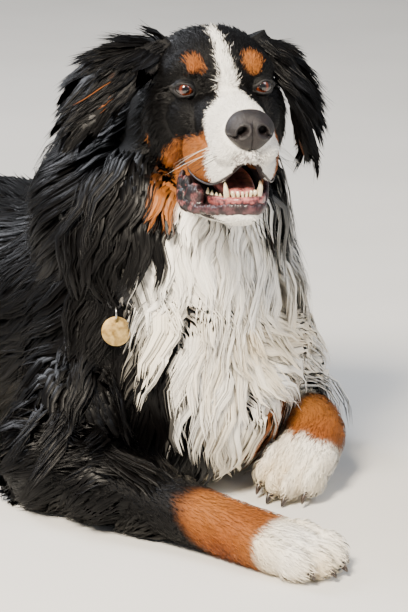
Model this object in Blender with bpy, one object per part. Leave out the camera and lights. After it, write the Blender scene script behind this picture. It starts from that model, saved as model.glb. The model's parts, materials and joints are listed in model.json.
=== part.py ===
"""Bernese mountain dog lying on its belly, life size, as a still museum model.

Metres, +Z up. The dog faces -Y, so its left side is at +X, and the floor is at z = 0.
The origin is the middle of the flat where the belly rests on the floor.
"""

import math
from dataclasses import dataclass
from random import Random
from typing import Callable

import bmesh
import bpy
import numpy as np
from mathutils import Matrix, Vector
from mathutils.bvhtree import BVHTree

CM = 0.01
GAP = 0.0004

# The head has a frame of its own, in centimetres: origin between the eyes, muzzle along -Y
HEAD_AT = Vector((-0.050, -0.385, 0.475))
HEAD_YAW = math.radians(-28)
HEAD_PITCH = math.radians(4)
HEAD_FRAME = (
    Matrix.Translation(HEAD_AT)
    @ Matrix.Rotation(HEAD_YAW, 4, "Z")
    @ Matrix.Rotation(-HEAD_PITCH, 4, "X")
    @ Matrix.Scale(CM, 4)
)
EAR_ARCH = 2.1
EAR_TURN = 0.55
EYE_PLACE = Vector((4.15, 1.0, 0.1))
EYE_RADIUS = 1.15
EYE_GAP = 0.035
EYE_FACETS = 14
EYE_OUTWARD = 16
LID_RADIUS = 1.5
LID_SLIT = (2.1, 1.35)
NOSE_PLACE = Vector((0.0, -10.9, -2.8))
NOSE_SIZE = Vector((2.5, 1.75, 2.0))
LIP_LINE = (
    (4.9, -1.6, -7.5), (4.8, -3.2, -8.3), (4.2, -5.2, -8.9), (3.4, -7.2, -9.05), (2.6, -8.8, -8.5),
    (1.6, -10.1, -7.5), (0.55, -10.9, -6.5),
)
NOSTRIL = (0.92, 0.48)

# Elbows, wrists and toes of the forelegs, the right one stretched, the left one folded
RIGHT_ELBOW = Vector((-0.180, -0.240, 0.055))
LEFT_ELBOW = Vector((0.164, -0.215, 0.056))
RIGHT_WRIST = Vector((-0.128, -0.480, 0.032))
RIGHT_TOES = Vector((-0.098, -0.592, 0.019))
LEFT_WRIST = Vector((0.104, -0.372, 0.062))
LEFT_TOES = Vector((0.034, -0.392, 0.022))

COLLAR_MIDDLE = Vector((-0.016, -0.240, 0.297))
COLLAR_HALF = (0.131, 0.143)
COLLAR_TILT = math.radians(36)
COLLAR_BAND = (0.0125, 0.0022)
TAG_TURN = math.radians(212)
TAG_FACES = Vector((-0.50, -0.85, 0.30))
TAG_RADIUS = 0.0160
TAG_THICK = 0.0018
TAG_HOLE = 0.0024
TAG_EDGE = 0.0045
LOOP_RADIUS = 0.007
LOOP_WIRE = 0.0014
RING_RADIUS = 0.008
RING_WIRE = 0.0011

# Each ring of a lock: how far on from the last one and how wide, as shares of the whole
LOCK_STEPS = ((0.0, 0.75), (0.24, 1.0), (0.38, 0.85), (0.38, 0.0))
# A lock is tried close to the body first, then higher, until it clears the other nodes
LOCK_LIFTS = (0.0, 0.004, 0.009, 0.015)
LOCK_CLEAR = 0.0006
LOWEST_LOCK = 0.0008


def clear_scene():
    """Remove every object of the startup scene."""
    for obj in list(bpy.data.objects):
        bpy.data.objects.remove(obj, do_unlink=True)


def material(name, colour, roughness, metallic=0.0):
    """A Principled material of one colour, given as linear RGB."""
    mat = bpy.data.materials.new(name)
    mat.use_nodes = True
    shader = mat.node_tree.nodes["Principled BSDF"]
    shader.inputs["Base Color"].default_value = (*colour, 1.0)
    shader.inputs["Roughness"].default_value = roughness
    shader.inputs["Metallic"].default_value = metallic
    return mat


def object_of(name, bm):
    """A linked object that takes over this bmesh."""
    bmesh.ops.recalc_face_normals(bm, faces=bm.faces)
    mesh = bpy.data.meshes.new(name)
    bm.to_mesh(mesh)
    bm.free()
    obj = bpy.data.objects.new(name, mesh)
    bpy.context.scene.collection.objects.link(obj)
    return obj


def baked(obj):
    """Replace an object's mesh by the one that its modifiers make."""
    graph = bpy.context.evaluated_depsgraph_get()
    mesh = bpy.data.meshes.new_from_object(obj.evaluated_get(graph))
    obj.modifiers.clear()
    obj.data = mesh
    return obj


def removed(objects):
    """Remove helper objects."""
    for obj in objects:
        bpy.data.objects.remove(obj, do_unlink=True)


def smooth_rows(rows, steps):
    """The rows of a table with Catmull-Rom rows put in between."""
    table = np.array(rows, float)
    padded = np.vstack([2 * table[0] - table[1], table, 2 * table[-1] - table[-2]])
    out = []
    for i in range(1, len(padded) - 2):
        before, start, end, after = padded[i - 1 : i + 3]
        for t in np.arange(steps) / steps:
            bend = 2 * before - 5 * start + 4 * end - after
            twist = 3 * start - before - 3 * end + after
            out.append(0.5 * (2 * start + (end - before) * t + bend * t**2 + twist * t**3))
    out.append(table[-1])
    return out


def loft(bm, rows, back=(0, 0, 1), sides=20, steps=3, frame=None):
    """Add a closed tube to bm.

    A row is x, y, z of the middle, half width, half height on the side that `back` points
    to, half height on the other side, and squareness of the outline, where 2 is an ellipse.
    """
    rows = smooth_rows(rows, steps)
    middles = [Vector(row[:3]) for row in rows]
    rings = []
    for i, row in enumerate(rows):
        ahead = middles[min(i + 1, len(rows) - 1)] - middles[max(i - 1, 0)]
        ahead.normalize()
        up = Vector(back)
        up = (up - ahead * up.dot(ahead)).normalized()
        side = up.cross(ahead)
        wide, high, low, power = (max(value, 1e-4) for value in row[3:7])
        ring = []
        for k in range(sides):
            turn = 2 * math.pi * k / sides
            c, s = math.cos(turn), math.sin(turn)
            x = wide * math.copysign(abs(c) ** (2 / power), c)
            y = (high if s > 0 else low) * math.copysign(abs(s) ** (2 / power), s)
            point = middles[i] + side * x + up * y
            ring.append(bm.verts.new(frame @ point if frame else point))
        rings.append(ring)
    for a, b in zip(rings, rings[1:]):
        for k in range(sides):
            n = (k + 1) % sides
            bm.faces.new((a[k], a[n], b[n], b[k]))
    bm.faces.new(rings[0][::-1])
    bm.faces.new(rings[-1])


def tube(bm, points, radius, sides=8, steps=3, frame=None, flat=1.0):
    """Add a round bar along points, thinner towards its ends; flat squeezes its height."""
    rows = []
    for i, point in enumerate(points):
        thick = radius * (0.55 if i in (0, len(points) - 1) else 1.0)
        rows.append((*point, thick, thick * flat, thick * flat, 2))
    loft(bm, rows, sides=sides, steps=steps, frame=frame, back=(0, 0.02, 1))


def ball(bm, middle, radii, turn=(0, 0, 0), fine=16, frame=None):
    """Add an ellipsoid to bm; turn is in degrees about X, Y and Z."""
    spin = Matrix.Identity(3)
    for axis, angle in zip("XYZ", turn):
        spin = Matrix.Rotation(math.radians(angle), 3, axis) @ spin
    place = Matrix.Translation(Vector(middle)) @ spin.to_4x4() @ Matrix.Diagonal((*radii, 1))
    bmesh.ops.create_uvsphere(
        bm, u_segments=fine, v_segments=fine // 2, radius=1, matrix=frame @ place if frame else place
    )


def both_sides(values):
    """The same place or size on the dog's left and, with x turned round, on its right."""
    x, *rest = values
    return ((x, *rest), (-x, *rest))


def fused(name, bm, voxel, smooth, faces):
    """One closed skin round all the closed shapes in bm, smoothed and then thinned out."""
    obj = object_of(name, bm)
    remesh = obj.modifiers.new("Skin", "REMESH")
    remesh.mode = "VOXEL"
    remesh.voxel_size = voxel
    soften = obj.modifiers.new("Soften", "SMOOTH")
    soften.factor = 0.5
    soften.iterations = smooth
    baked(obj)
    thin = obj.modifiers.new("Thin", "DECIMATE")
    thin.ratio = min(1.0, faces / (2 * len(obj.data.polygons)))
    thin.use_collapse_triangulate = True
    return baked(obj)


def swollen(obj, distance=GAP):
    """A copy of obj whose surface lies further out."""
    copy = obj.copy()
    copy.data = obj.data.copy()
    bpy.context.scene.collection.objects.link(copy)
    bm = bmesh.new()
    bm.from_mesh(copy.data)
    bmesh.ops.triangulate(bm, faces=bm.faces)
    bm.normal_update()
    moves = []
    for vert in bm.verts:
        spread = min(max(0.45, min(f.normal.dot(vert.normal) for f in vert.link_faces)), 1.0)
        moves.append(vert.normal * distance / spread)
    for vert, move in zip(bm.verts, moves):
        vert.co += move
    bm.to_mesh(copy.data)
    bm.free()
    return copy


def combined(obj, others, operation):
    """Apply one Boolean of obj with a collection of others, which are then removed."""
    group = bpy.data.collections.new("Group")
    bpy.context.scene.collection.children.link(group)
    for other in others:
        group.objects.link(other)
    modifier = obj.modifiers.new(operation, "BOOLEAN")
    modifier.operation = operation
    modifier.operand_type = "COLLECTION"
    modifier.collection = group
    modifier.solver = "MANIFOLD"
    baked(obj)
    removed(others)
    bpy.data.collections.remove(group)
    return keep_largest(obj)


def cut_clear(obj, neighbours):
    """Cut obj back to leave a gap to each neighbour."""
    return combined(obj, [swollen(n) for n in neighbours], "DIFFERENCE")


def keep_largest(obj):
    """Weld what almost touches in a mesh and keep its largest closed surface."""
    bm = bmesh.new()
    bm.from_mesh(obj.data)
    bmesh.ops.triangulate(bm, faces=bm.faces)
    bmesh.ops.dissolve_degenerate(bm, dist=1e-5, edges=bm.edges)
    todo = set(bm.faces)
    parts = []
    while todo:
        stack = [todo.pop()]
        part = set(stack)
        while stack:
            for edge in stack.pop().edges:
                for face in edge.link_faces if len(edge.link_faces) == 2 else ():
                    if face in todo:
                        todo.discard(face)
                        part.add(face)
                        stack.append(face)
        parts.append(part)
    parts.sort(key=len)
    for part in parts[:-1]:
        bmesh.ops.delete(bm, geom=list(part), context="FACES")
    loose = [vert for vert in bm.verts if not vert.link_faces]
    bmesh.ops.delete(bm, geom=loose, context="VERTS")
    bm.to_mesh(obj.data)
    bm.free()
    return obj


def floor_block():
    """The floor, as a cutter that reaches well past the model."""
    bm = bmesh.new()
    bmesh.ops.create_cube(bm, size=4, matrix=Matrix.Translation((0, 0, -2)))
    return object_of("Floor", bm)


def cut_flat(obj):
    """Cut a body part level where it lies on the floor."""
    return combined(obj, [floor_block()], "DIFFERENCE")


def make_torso():
    """Chest, belly, rump and the shoulders at its sides, broad and level below."""
    bm = bmesh.new()
    for side in (1, -1):
        ball(bm, (0.108 * side, -0.225, 0.185), (0.058, 0.080, 0.115), (22, -10 * side, 0))
        ball(bm, (0.140 * side, -0.235, 0.105), (0.058, 0.078, 0.075))
    stations = (
        # y, top, bottom, half width
        (0.372, 0.190, 0.060, 0.045),
        (0.345, 0.232, 0.020, 0.095),
        (0.280, 0.268, -0.012, 0.130),
        (0.190, 0.280, -0.012, 0.138),
        (0.080, 0.282, -0.012, 0.142),
        (-0.040, 0.288, -0.012, 0.148),
        (-0.140, 0.308, -0.012, 0.152),
        (-0.220, 0.322, -0.008, 0.148),
        (-0.290, 0.300, 0.002, 0.130),
        (-0.342, 0.250, 0.030, 0.100),
        (-0.368, 0.200, 0.080, 0.050),
    )
    rows = [(0, y, (top + low) / 2, wide, (top - low) / 2, (top - low) / 2, 2.3)
            for y, top, low, wide in stations]
    loft(bm, rows, sides=24)
    return cut_flat(fused("torso", bm, 0.010, 5, 740))


def make_neck():
    """Neck and nape, with the root of the ruff, from the shoulders up to the skull."""
    bm = bmesh.new()
    rows = (
        (0.000, -0.130, 0.235, 0.100, 0.100, 0.100, 2),
        (0.000, -0.195, 0.285, 0.116, 0.118, 0.112, 2),
        (0.000, -0.240, 0.345, 0.109, 0.108, 0.104, 2),
        (0.002, -0.266, 0.405, 0.100, 0.098, 0.096, 2),
        (0.008, -0.280, 0.455, 0.088, 0.086, 0.088, 2),
        (0.010, -0.290, 0.500, 0.060, 0.055, 0.060, 2),
    )
    loft(bm, rows, back=(0, 1, 0.2), sides=20)
    return fused("neck", bm, 0.010, 5, 380)


def make_collar():
    """A flat band, loose round the foot of the neck and sunk in the coat."""
    bm = bmesh.new()
    half, thick = COLLAR_BAND
    tilt = Matrix.Translation(COLLAR_MIDDLE) @ Matrix.Rotation(COLLAR_TILT, 4, "X")
    count = 32
    rings = []
    for k in range(count):
        turn = 2 * math.pi * k / count
        out = Vector((math.cos(turn), math.sin(turn), 0))
        at = Vector((COLLAR_HALF[0] * out.x, COLLAR_HALF[1] * out.y, 0))
        corners = ((-thick, -half), (thick, -half), (thick, half), (-thick, half))
        rings.append([bm.verts.new(tilt @ (at + out * a + Vector((0, 0, b)))) for a, b in corners])
    for k in range(count):
        a, b = rings[k], rings[(k + 1) % count]
        for i in range(4):
            n = (i + 1) % 4
            bm.faces.new((a[i], a[n], b[n], b[i]))
    return object_of("collar", bm)


def collar_point(turn, out=0.0, along=0.0):
    """A place on the collar, out from its middle line and along its width."""
    tilt = Matrix.Translation(COLLAR_MIDDLE) @ Matrix.Rotation(COLLAR_TILT, 4, "X")
    ray = Vector((math.cos(turn), math.sin(turn), 0))
    at = Vector((COLLAR_HALF[0] * ray.x, COLLAR_HALF[1] * ray.y, 0)) + ray * out
    return tilt @ (at + Vector((0, 0, along)))


def leg_form(name, muscles, limb_rows, faces):
    """A part of a leg from balls for its muscles and lofts for its limb."""
    bm = bmesh.new()
    for middle, radii, turn in muscles:
        ball(bm, middle, radii, turn, fine=20)
    for rows in limb_rows:
        loft(bm, rows, sides=16)
    return cut_flat(fused(name, bm, 0.007, 5, faces))


def toes(heel, tip, radius, spread):
    """Four toe balls at the front of a paw, as ball entries for leg_form."""
    heel, tip = Vector(heel), Vector(tip)
    ahead = (tip - heel).normalized()
    side = ahead.cross(Vector((0, 0, 1))).normalized()
    out = []
    for k, (across, reach) in enumerate(((-1.5, -0.012), (-0.5, 0.0), (0.5, 0.0), (1.5, -0.012))):
        at = tip + side * across * spread + ahead * reach
        turn = math.degrees(math.atan2(ahead.x, -ahead.y))
        out.append((at, (radius * 0.82, radius * 1.5, radius), (0, 0, turn)))
    return out


def make_forelegs():
    """Elbows, and forearms low on the floor with their paws, the left paw folded in."""
    legs = []
    for name, side in (("left", 1), ("right", -1)):
        elbow = LEFT_ELBOW if side > 0 else RIGHT_ELBOW
        parts = [(elbow, (0.046, 0.062, 0.060), (0, 0, 0))]
        if side < 0:
            wrist, tip = RIGHT_WRIST, RIGHT_TOES
            knuckle = wrist.lerp(tip, 0.42)
            parts += toes(knuckle, tip, 0.019, 0.0215)
            limbs = [[
                (*elbow, 0.047, 0.048, 0.048, 2),
                (*elbow.lerp(wrist, 0.35), 0.045, 0.042, 0.046, 2),
                (*elbow.lerp(wrist, 0.75), 0.040, 0.034, 0.040, 2),
                (*wrist, 0.039, 0.031, 0.040, 2),
                (*knuckle, 0.044, 0.028, 0.036, 2.3),
                (*wrist.lerp(tip, 0.78), 0.048, 0.023, 0.030, 2.4),
                (*wrist.lerp(tip, 0.95), 0.038, 0.014, 0.024, 2.4),
            ]]
        else:
            wrist, tip = LEFT_WRIST, LEFT_TOES
            knuckle = wrist.lerp(tip, 0.45)
            parts += toes(knuckle, tip, 0.018, 0.020)
            arm = [
                (*elbow, 0.047, 0.048, 0.048, 2),
                (*elbow.lerp(wrist, 0.45), 0.044, 0.042, 0.046, 2),
                (*elbow.lerp(wrist, 0.85), 0.038, 0.038, 0.042, 2),
                (*(elbow.lerp(wrist, 1.10) - Vector((0, 0, 0.006))), 0.030, 0.030, 0.044, 2),
            ]
            paw = [
                (*(wrist + Vector((0.012, 0.004, 0.002))), 0.028, 0.028, 0.040, 2),
                (*wrist.lerp(tip, 0.25), 0.037, 0.032, 0.040, 2.2),
                (*knuckle, 0.041, 0.030, 0.036, 2.3),
                (*wrist.lerp(tip, 0.8), 0.043, 0.024, 0.030, 2.4),
                (*wrist.lerp(tip, 0.97), 0.035, 0.015, 0.026, 2.4),
            ]
            limbs = [arm, paw]
        legs.append(leg_form(f"foreleg_{name}", parts, limbs, 460))
    return legs


def make_hindlegs():
    """Thighs folded beside the belly, hocks back and feet forward on the floor."""
    legs = []
    for name, side in (("left", 1), ("right", -1)):
        toe = Vector((0.214 * side, 0.000, 0.022))
        parts = [
            ((0.118 * side, 0.215, 0.140), (0.078, 0.135, 0.118), (-18, 0, 8 * side)),
            ((0.158 * side, 0.118, 0.104), (0.055, 0.082, 0.082), (-25, 0, 0)),
            ((0.165 * side, 0.270, 0.060), (0.045, 0.060, 0.055), (0, 0, 0)),
        ]
        parts += toes((0.206 * side, 0.050, 0.03), toe, 0.020, 0.0195)
        limb = [
            (0.160 * side, 0.300, 0.040, 0.028, 0.034, 0.040, 2),
            (0.176 * side, 0.250, 0.038, 0.034, 0.036, 0.042, 2),
            (0.192 * side, 0.160, 0.036, 0.034, 0.034, 0.040, 2),
            (0.202 * side, 0.090, 0.034, 0.035, 0.032, 0.038, 2.2),
            (0.208 * side, 0.045, 0.030, 0.044, 0.027, 0.034, 2.4),
            (0.213 * side, 0.008, 0.024, 0.038, 0.016, 0.030, 2.4),
        ]
        legs.append(leg_form(f"hindleg_{name}", parts, [limb], 500))
    return legs


def make_tail():
    """The tail, laid out behind along the floor."""
    bm = bmesh.new()
    rows = (
        (0.000, 0.300, 0.130, 0.034, 0.034, 0.034, 2),
        (0.000, 0.365, 0.115, 0.040, 0.038, 0.040, 2),
        (0.004, 0.420, 0.066, 0.042, 0.040, 0.046, 2),
        (0.014, 0.480, 0.038, 0.044, 0.038, 0.046, 2),
        (0.034, 0.560, 0.034, 0.044, 0.034, 0.044, 2),
        (0.060, 0.640, 0.030, 0.040, 0.030, 0.040, 2),
        (0.084, 0.705, 0.026, 0.030, 0.024, 0.034, 2),
        (0.098, 0.745, 0.020, 0.012, 0.010, 0.022, 2),
    )
    loft(bm, rows, sides=16)
    return cut_flat(fused("tail", bm, 0.008, 4, 280))


def make_nose():
    """The nose leather with its nostrils, each a hole and a slit to the side."""
    bm = bmesh.new()
    ball(bm, NOSE_PLACE, NOSE_SIZE, (8, 0, 0), 24, HEAD_FRAME)
    nose = fused("nose", bm, 0.0016, 2, 240)
    holes = bmesh.new()
    for x in (1, -1):
        at = (NOSTRIL[0] * x, NOSE_PLACE.y - NOSE_SIZE.y + 0.12, NOSE_PLACE.z + 0.3)
        ball(holes, at, (NOSTRIL[1], 0.85, 0.48), (0, 35 * x, 0), 8, HEAD_FRAME)
    cutters = [object_of("Nostrils", holes)]
    slits = bmesh.new()
    for x in (1, -1):
        at = (1.62 * x, NOSE_PLACE.y - NOSE_SIZE.y + 0.5, NOSE_PLACE.z - 0.22)
        ball(slits, at, (0.85, 0.9, 0.2), (0, 30 * x, 0), 8, HEAD_FRAME)
    cutters.append(object_of("Slits", slits))
    return combined(nose, cutters, "DIFFERENCE")


def make_eyes():
    """Two eyeballs, faceted as their sockets are."""
    eyes = []
    for name, (x, y, z) in zip(("eye_left", "eye_right"), both_sides(EYE_PLACE)):
        bm = bmesh.new()
        ball(bm, (x, y, z), (EYE_RADIUS,) * 3, fine=EYE_FACETS, frame=HEAD_FRAME)
        eye = object_of(name, bm)
        eye.data.shade_smooth()
        eyes.append(eye)
    return eyes


def make_jaw():
    """The lower jaw, opened, with its lip, its incisors and its canines."""
    bm = bmesh.new()
    rows = (
        (0, 5.0, -8.6, 4.4, 2.0, 3.4, 2.2),
        (0, 2.0, -9.2, 5.0, 1.6, 3.8, 2.2),
        (0, -1.0, -10.2, 5.2, 1.5, 3.2, 2.4),
        (0, -4.0, -11.2, 4.6, 1.5, 2.3, 2.4),
        (0, -6.5, -11.6, 3.5, 1.6, 1.8, 2.4),
        (0, -8.6, -11.6, 2.7, 1.6, 1.6, 2.4),
        (0, -9.9, -11.7, 2.0, 1.5, 1.4, 2.3),
        (0, -10.6, -11.8, 1.1, 0.9, 0.9, 2),
    )
    loft(bm, rows, frame=HEAD_FRAME)
    jaw = fused("jaw", bm, 0.003, 3, 280)
    lip = bmesh.new()
    side = ((5.2, -1.2, -9.8), (4.9, -3.2, -11.2), (4.2, -4.8, -11.9), (3.3, -6.8, -12.0), (2.4, -9.2, -11.9))
    curve = [*side, (0, -10.7, -11.8), *((-x, y, z) for x, y, z in reversed(side))]
    tube(lip, curve, 0.34, 5, 1, HEAD_FRAME)
    pieces = [object_of("Lip", lip)]
    for x, y, top, wide in (
        (1.85, -8.7, -8.35, 0.38),
        (1.12, -9.2, -9.3, 0.29),
        (0.66, -9.4, -9.3, 0.26),
        (0.22, -9.45, -9.3, 0.23),
    ):
        for sign in (1, -1):
            tooth = bmesh.new()
            tall = top + 10.7
            lean = Matrix.Rotation(math.radians(6 * sign * x), 4, "Y")
            place = Matrix.Translation((x * sign, y, top - tall / 2)) @ lean
            bmesh.ops.create_cone(tooth, cap_ends=True, segments=6, radius1=wide * 1.1,
                                  radius2=wide * 0.35, depth=tall, matrix=HEAD_FRAME @ place)
            pieces.append(object_of("Tooth", tooth))
    return combined(jaw, pieces, "UNION")


def make_tongue():
    """The tongue, lying in the jaw behind the teeth."""
    bm = bmesh.new()
    rows = (
        (0, 1.0, -8.1, 1.6, 0.5, 0.6, 2.2),
        (0, -2.0, -8.5, 2.1, 0.6, 1.6, 2.2),
        (0, -5.0, -9.2, 2.0, 0.6, 1.6, 2.2),
        (0, -7.6, -9.5, 1.5, 0.5, 1.2, 2.2),
        (0, -8.4, -9.6, 0.8, 0.3, 0.8, 2),
    )
    loft(bm, rows, frame=HEAD_FRAME)
    return fused("tongue", bm, 0.002, 2, 90)


def make_head():
    """Skull, cheeks, brows, muzzle and hanging upper lips, with lids round the eyes."""
    bm = bmesh.new()
    frame = HEAD_FRAME
    ball(bm, (0, 6.8, 0.7), (6.9, 7.8, 5.5), fine=24, frame=frame)
    for side in (1, -1):
        ball(bm, (3.2 * side, 3.0, 1.9), (2.9, 3.2, 2.4), (0, 20 * side, 0), frame=frame)
        ball(bm, (4.5 * side, 5.6, -3.6), (3.1, 5.2, 5.2), (15, 0, 0), frame=frame)
        curtain = [((x - 0.45) * side, y, z + 1.9, 1.0, 2.2, 1.9, 2) for x, y, z in LIP_LINE]
        loft(bm, curtain, sides=14, frame=frame)
    muzzle = (
        (0, 4.0, -2.6, 5.4, 3.4, 5.5, 2.3),
        (0, -0.6, -3.2, 4.5, 3.4, 4.2, 2.3),
        (0, -4.0, -3.7, 3.8, 3.4, 4.0, 2.3),
        (0, -7.0, -4.0, 3.5, 3.3, 3.4, 2.3),
        (0, -9.5, -4.2, 3.3, 3.2, 2.9, 2.3),
        (0, -10.9, -4.3, 2.8, 2.8, 2.2, 2.2),
        (0, -11.5, -4.3, 1.8, 1.9, 1.6, 2),
    )
    loft(bm, muzzle, frame=frame)
    head = fused("head", bm, 0.0028, 3, 1350)

    lids = []
    sockets = []
    for side in (1, -1):
        at = Vector((EYE_PLACE.x * side, EYE_PLACE.y, EYE_PLACE.z))
        lid = bmesh.new()
        ball(lid, at, (LID_RADIUS,) * 3, fine=12, frame=frame)
        lids.append(object_of("Lid", lid))
        socket = bmesh.new()
        ball(socket, at, (EYE_RADIUS + EYE_GAP,) * 3, fine=EYE_FACETS, frame=frame)
        sockets.append(object_of("Socket", socket))
        slit = bmesh.new()
        wide, high = (v / 2 for v in LID_SLIT)
        turn = Matrix.Rotation(math.radians(EYE_OUTWARD * side), 4, "Z")
        tilt = Matrix.Rotation(math.radians(-6 * side), 4, "Y")
        place = Matrix.Translation(at) @ turn @ tilt
        count = 10
        rings = [[], []]
        for k in range(count):
            angle = 2 * math.pi * k / count
            x = wide * math.cos(angle)
            z = high * math.sin(angle) * (1 - 0.35 * math.cos(angle) ** 2)
            for ring, (depth, grow) in zip(rings, ((0.0, 0.9), (-3.0, 1.6))):
                ring.append(slit.verts.new(frame @ (place @ Vector((x * grow, depth, z * grow)))))
        for k in range(count):
            n = (k + 1) % count
            slit.faces.new((rings[0][k], rings[0][n], rings[1][n], rings[1][k]))
        slit.faces.new(rings[0])
        slit.faces.new(rings[1])
        sockets.append(object_of("Slit", slit))
    combined(head, lids, "UNION")
    mouth = bmesh.new()
    rows = (
        (0, 1.5, -8.4, 2.6, 1.0, 2.0, 2.2),
        (0, -3.0, -8.9, 2.3, 1.9, 2.0, 2.2),
        (0, -7.0, -9.4, 1.9, 2.4, 2.0, 2.2),
        (0, -9.6, -9.6, 1.5, 2.8, 2.0, 2.0),
        (0, -13.0, -9.8, 1.3, 3.1, 2.0, 2.0),
    )
    loft(mouth, rows, sides=12, steps=1, frame=frame)
    sockets.append(object_of("Mouth", mouth))
    combined(head, sockets, "DIFFERENCE")
    lips = []
    for side in (1, -1):
        lip = bmesh.new()
        tube(lip, [(x * side, y, z) for x, y, z in LIP_LINE], 0.30, 5, 1, frame)
        lips.append(object_of("Lip", lip))
    return combined(head, lips, "UNION")


def make_ears():
    """Two ear flaps, cupped towards the head, the right one swung out."""
    ears = []
    profile = (
        # place along the flap, half width, half thickness
        (-0.10, 2.3, 0.55), (0.06, 3.2, 0.48), (0.26, 4.0, 0.36), (0.48, 3.9, 0.30),
        (0.70, 3.1, 0.28), (0.88, 2.0, 0.25), (1.0, 0.9, 0.2),
    )
    for name, root, tip, side in (
        ("ear_left", (6.0, 6.8, 4.2), (10.8, 5.8, -6.6), 1),
        ("ear_right", (-6.0, 6.8, 4.2), (-15.4, 6.2, -4.8), -1),
    ):
        bm = bmesh.new()
        root, tip = Vector(root), Vector(tip)
        along = (tip - root).normalized()
        outward = Vector((side, 0, 0)) - along * along.dot(Vector((side, 0, 0)))
        outward.normalize()
        out = Vector((side, -EAR_TURN, 0)) - along * along.dot(Vector((side, -EAR_TURN, 0)))
        out.normalize()
        across = along.cross(out)
        rings = []
        for t, wide, thick in profile:
            arch = EAR_ARCH * math.sin(math.pi * min(max(t, 0), 1) ** 0.7)
            middle = root.lerp(tip, t) + outward * arch
            ring = []
            for k in range(12):
                u = math.cos(math.pi * k / 6)
                v = math.sin(math.pi * k / 6)
                cup = -1.6 * u * u * (1 - 0.5 * t)
                point = middle + across * (u * wide) + out * (v * thick + cup)
                ring.append(bm.verts.new(HEAD_FRAME @ point))
            rings.append(ring)
        for a, b in zip(rings, rings[1:]):
            for k in range(len(a)):
                n = (k + 1) % len(a)
                bm.faces.new((a[k], a[n], b[n], b[k]))
        bm.faces.new(rings[0])
        bm.faces.new(rings[-1])
        bmesh.ops.triangulate(bm, faces=bm.faces)
        ears.append(object_of(name, bm))
    return ears


def ring(middle, across, down, radius, wire, sides=12, facets=5):
    """A closed round ring of wire in the plane of the directions across and down."""
    bm = bmesh.new()
    normal = across.cross(down).normalized()
    loops = []
    for k in range(sides):
        turn = 2 * math.pi * k / sides
        out = across * math.cos(turn) + down * math.sin(turn)
        loops.append([
            bm.verts.new(middle + out * (radius + wire * math.cos(angle)) + normal * wire * math.sin(angle))
            for angle in (2 * math.pi * i / facets for i in range(facets))
        ])
    for a, b in zip(loops, loops[1:] + loops[:1]):
        for i in range(facets):
            n = (i + 1) % facets
            bm.faces.new((a[i], a[n], b[n], b[i]))
    return bm


def make_tag(collar):
    """The loop on the collar, the split ring in it and the bare disc that hangs from that."""
    start = collar_point(TAG_TURN, 0.004, -COLLAR_BAND[0])
    outward = TAG_FACES.normalized()
    down = (Vector((0, 0, -1)) + outward * outward.z).normalized()
    across = outward.cross(down)
    low = LOOP_RADIUS + 0.003
    loop = object_of("Loop", ring(start + down * 0.003, across, down, LOOP_RADIUS, LOOP_WIRE))
    combined(collar, [loop], "UNION")
    high = low - LOOP_WIRE - RING_WIRE - GAP
    tag_ring = object_of(
        "tag_ring", ring(start + down * (high + RING_RADIUS), outward, down, RING_RADIUS, RING_WIRE))
    hang = high + 2 * RING_RADIUS
    middle = start + down * (hang + TAG_RADIUS - TAG_EDGE)
    place = Matrix((across, down, outward)).transposed().to_4x4()
    place.translation = middle
    bm = bmesh.new()
    bmesh.ops.create_cone(bm, cap_ends=True, segments=20, radius1=TAG_RADIUS, radius2=TAG_RADIUS,
                          depth=TAG_THICK, matrix=place)
    tag = object_of("tag", bm)
    hole = bmesh.new()
    place.translation = start + down * hang
    bmesh.ops.create_cone(hole, cap_ends=True, segments=8, radius1=TAG_HOLE, radius2=TAG_HOLE,
                          depth=4 * TAG_THICK, matrix=place)
    combined(tag, [object_of("Hole", hole)], "DIFFERENCE")
    return tag_ring, tag


@dataclass
class Coat:
    """How the locks of a region grow: how many, how far apart, how big, how high and which way."""

    count: int
    apart: float
    length: float
    width: float
    thick: float
    stand: tuple
    flow: Callable
    grows: Callable
    wave: float = 0.08
    sink: float = 0.012
    clear: float = 0.010
    hangs: bool = False


def tree_of(obj):
    """A search tree of an object's triangles."""
    bm = bmesh.new()
    bm.from_mesh(obj.data)
    tree = BVHTree.FromBMesh(bm)
    bm.free()
    return tree


def height_over(tree, place):
    """How far a place lies outside a closed surface, and the direction away from it."""
    at, normal, _, distance = tree.find_nearest(place)
    height = math.copysign(distance, (place - at).dot(normal))
    away = (place - at) * math.copysign(1, height)
    return height, away.normalized() if distance > 1e-5 else normal


class Hide:
    """The plain body under the coat with what it wears, asked how far a place lies outside it."""

    def __init__(self, forms):
        self.trees = {form.name: tree_of(form) for form in forms}

    def settle(self, place, height):
        """Move a place to this height over the body, and give the body's normal there."""
        for _ in range(4):
            found = (height_over(tree, place) for tree in self.trees.values())
            now, normal = min(found, key=lambda item: item[0])
            place = place + normal * (height - now)
        return place, normal

    def bare(self, place, name, clear):
        """Whether no other form than the named one reaches to the place."""
        return all(height_over(tree, place)[0] > clear
                   for other, tree in self.trees.items() if other != name)


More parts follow.
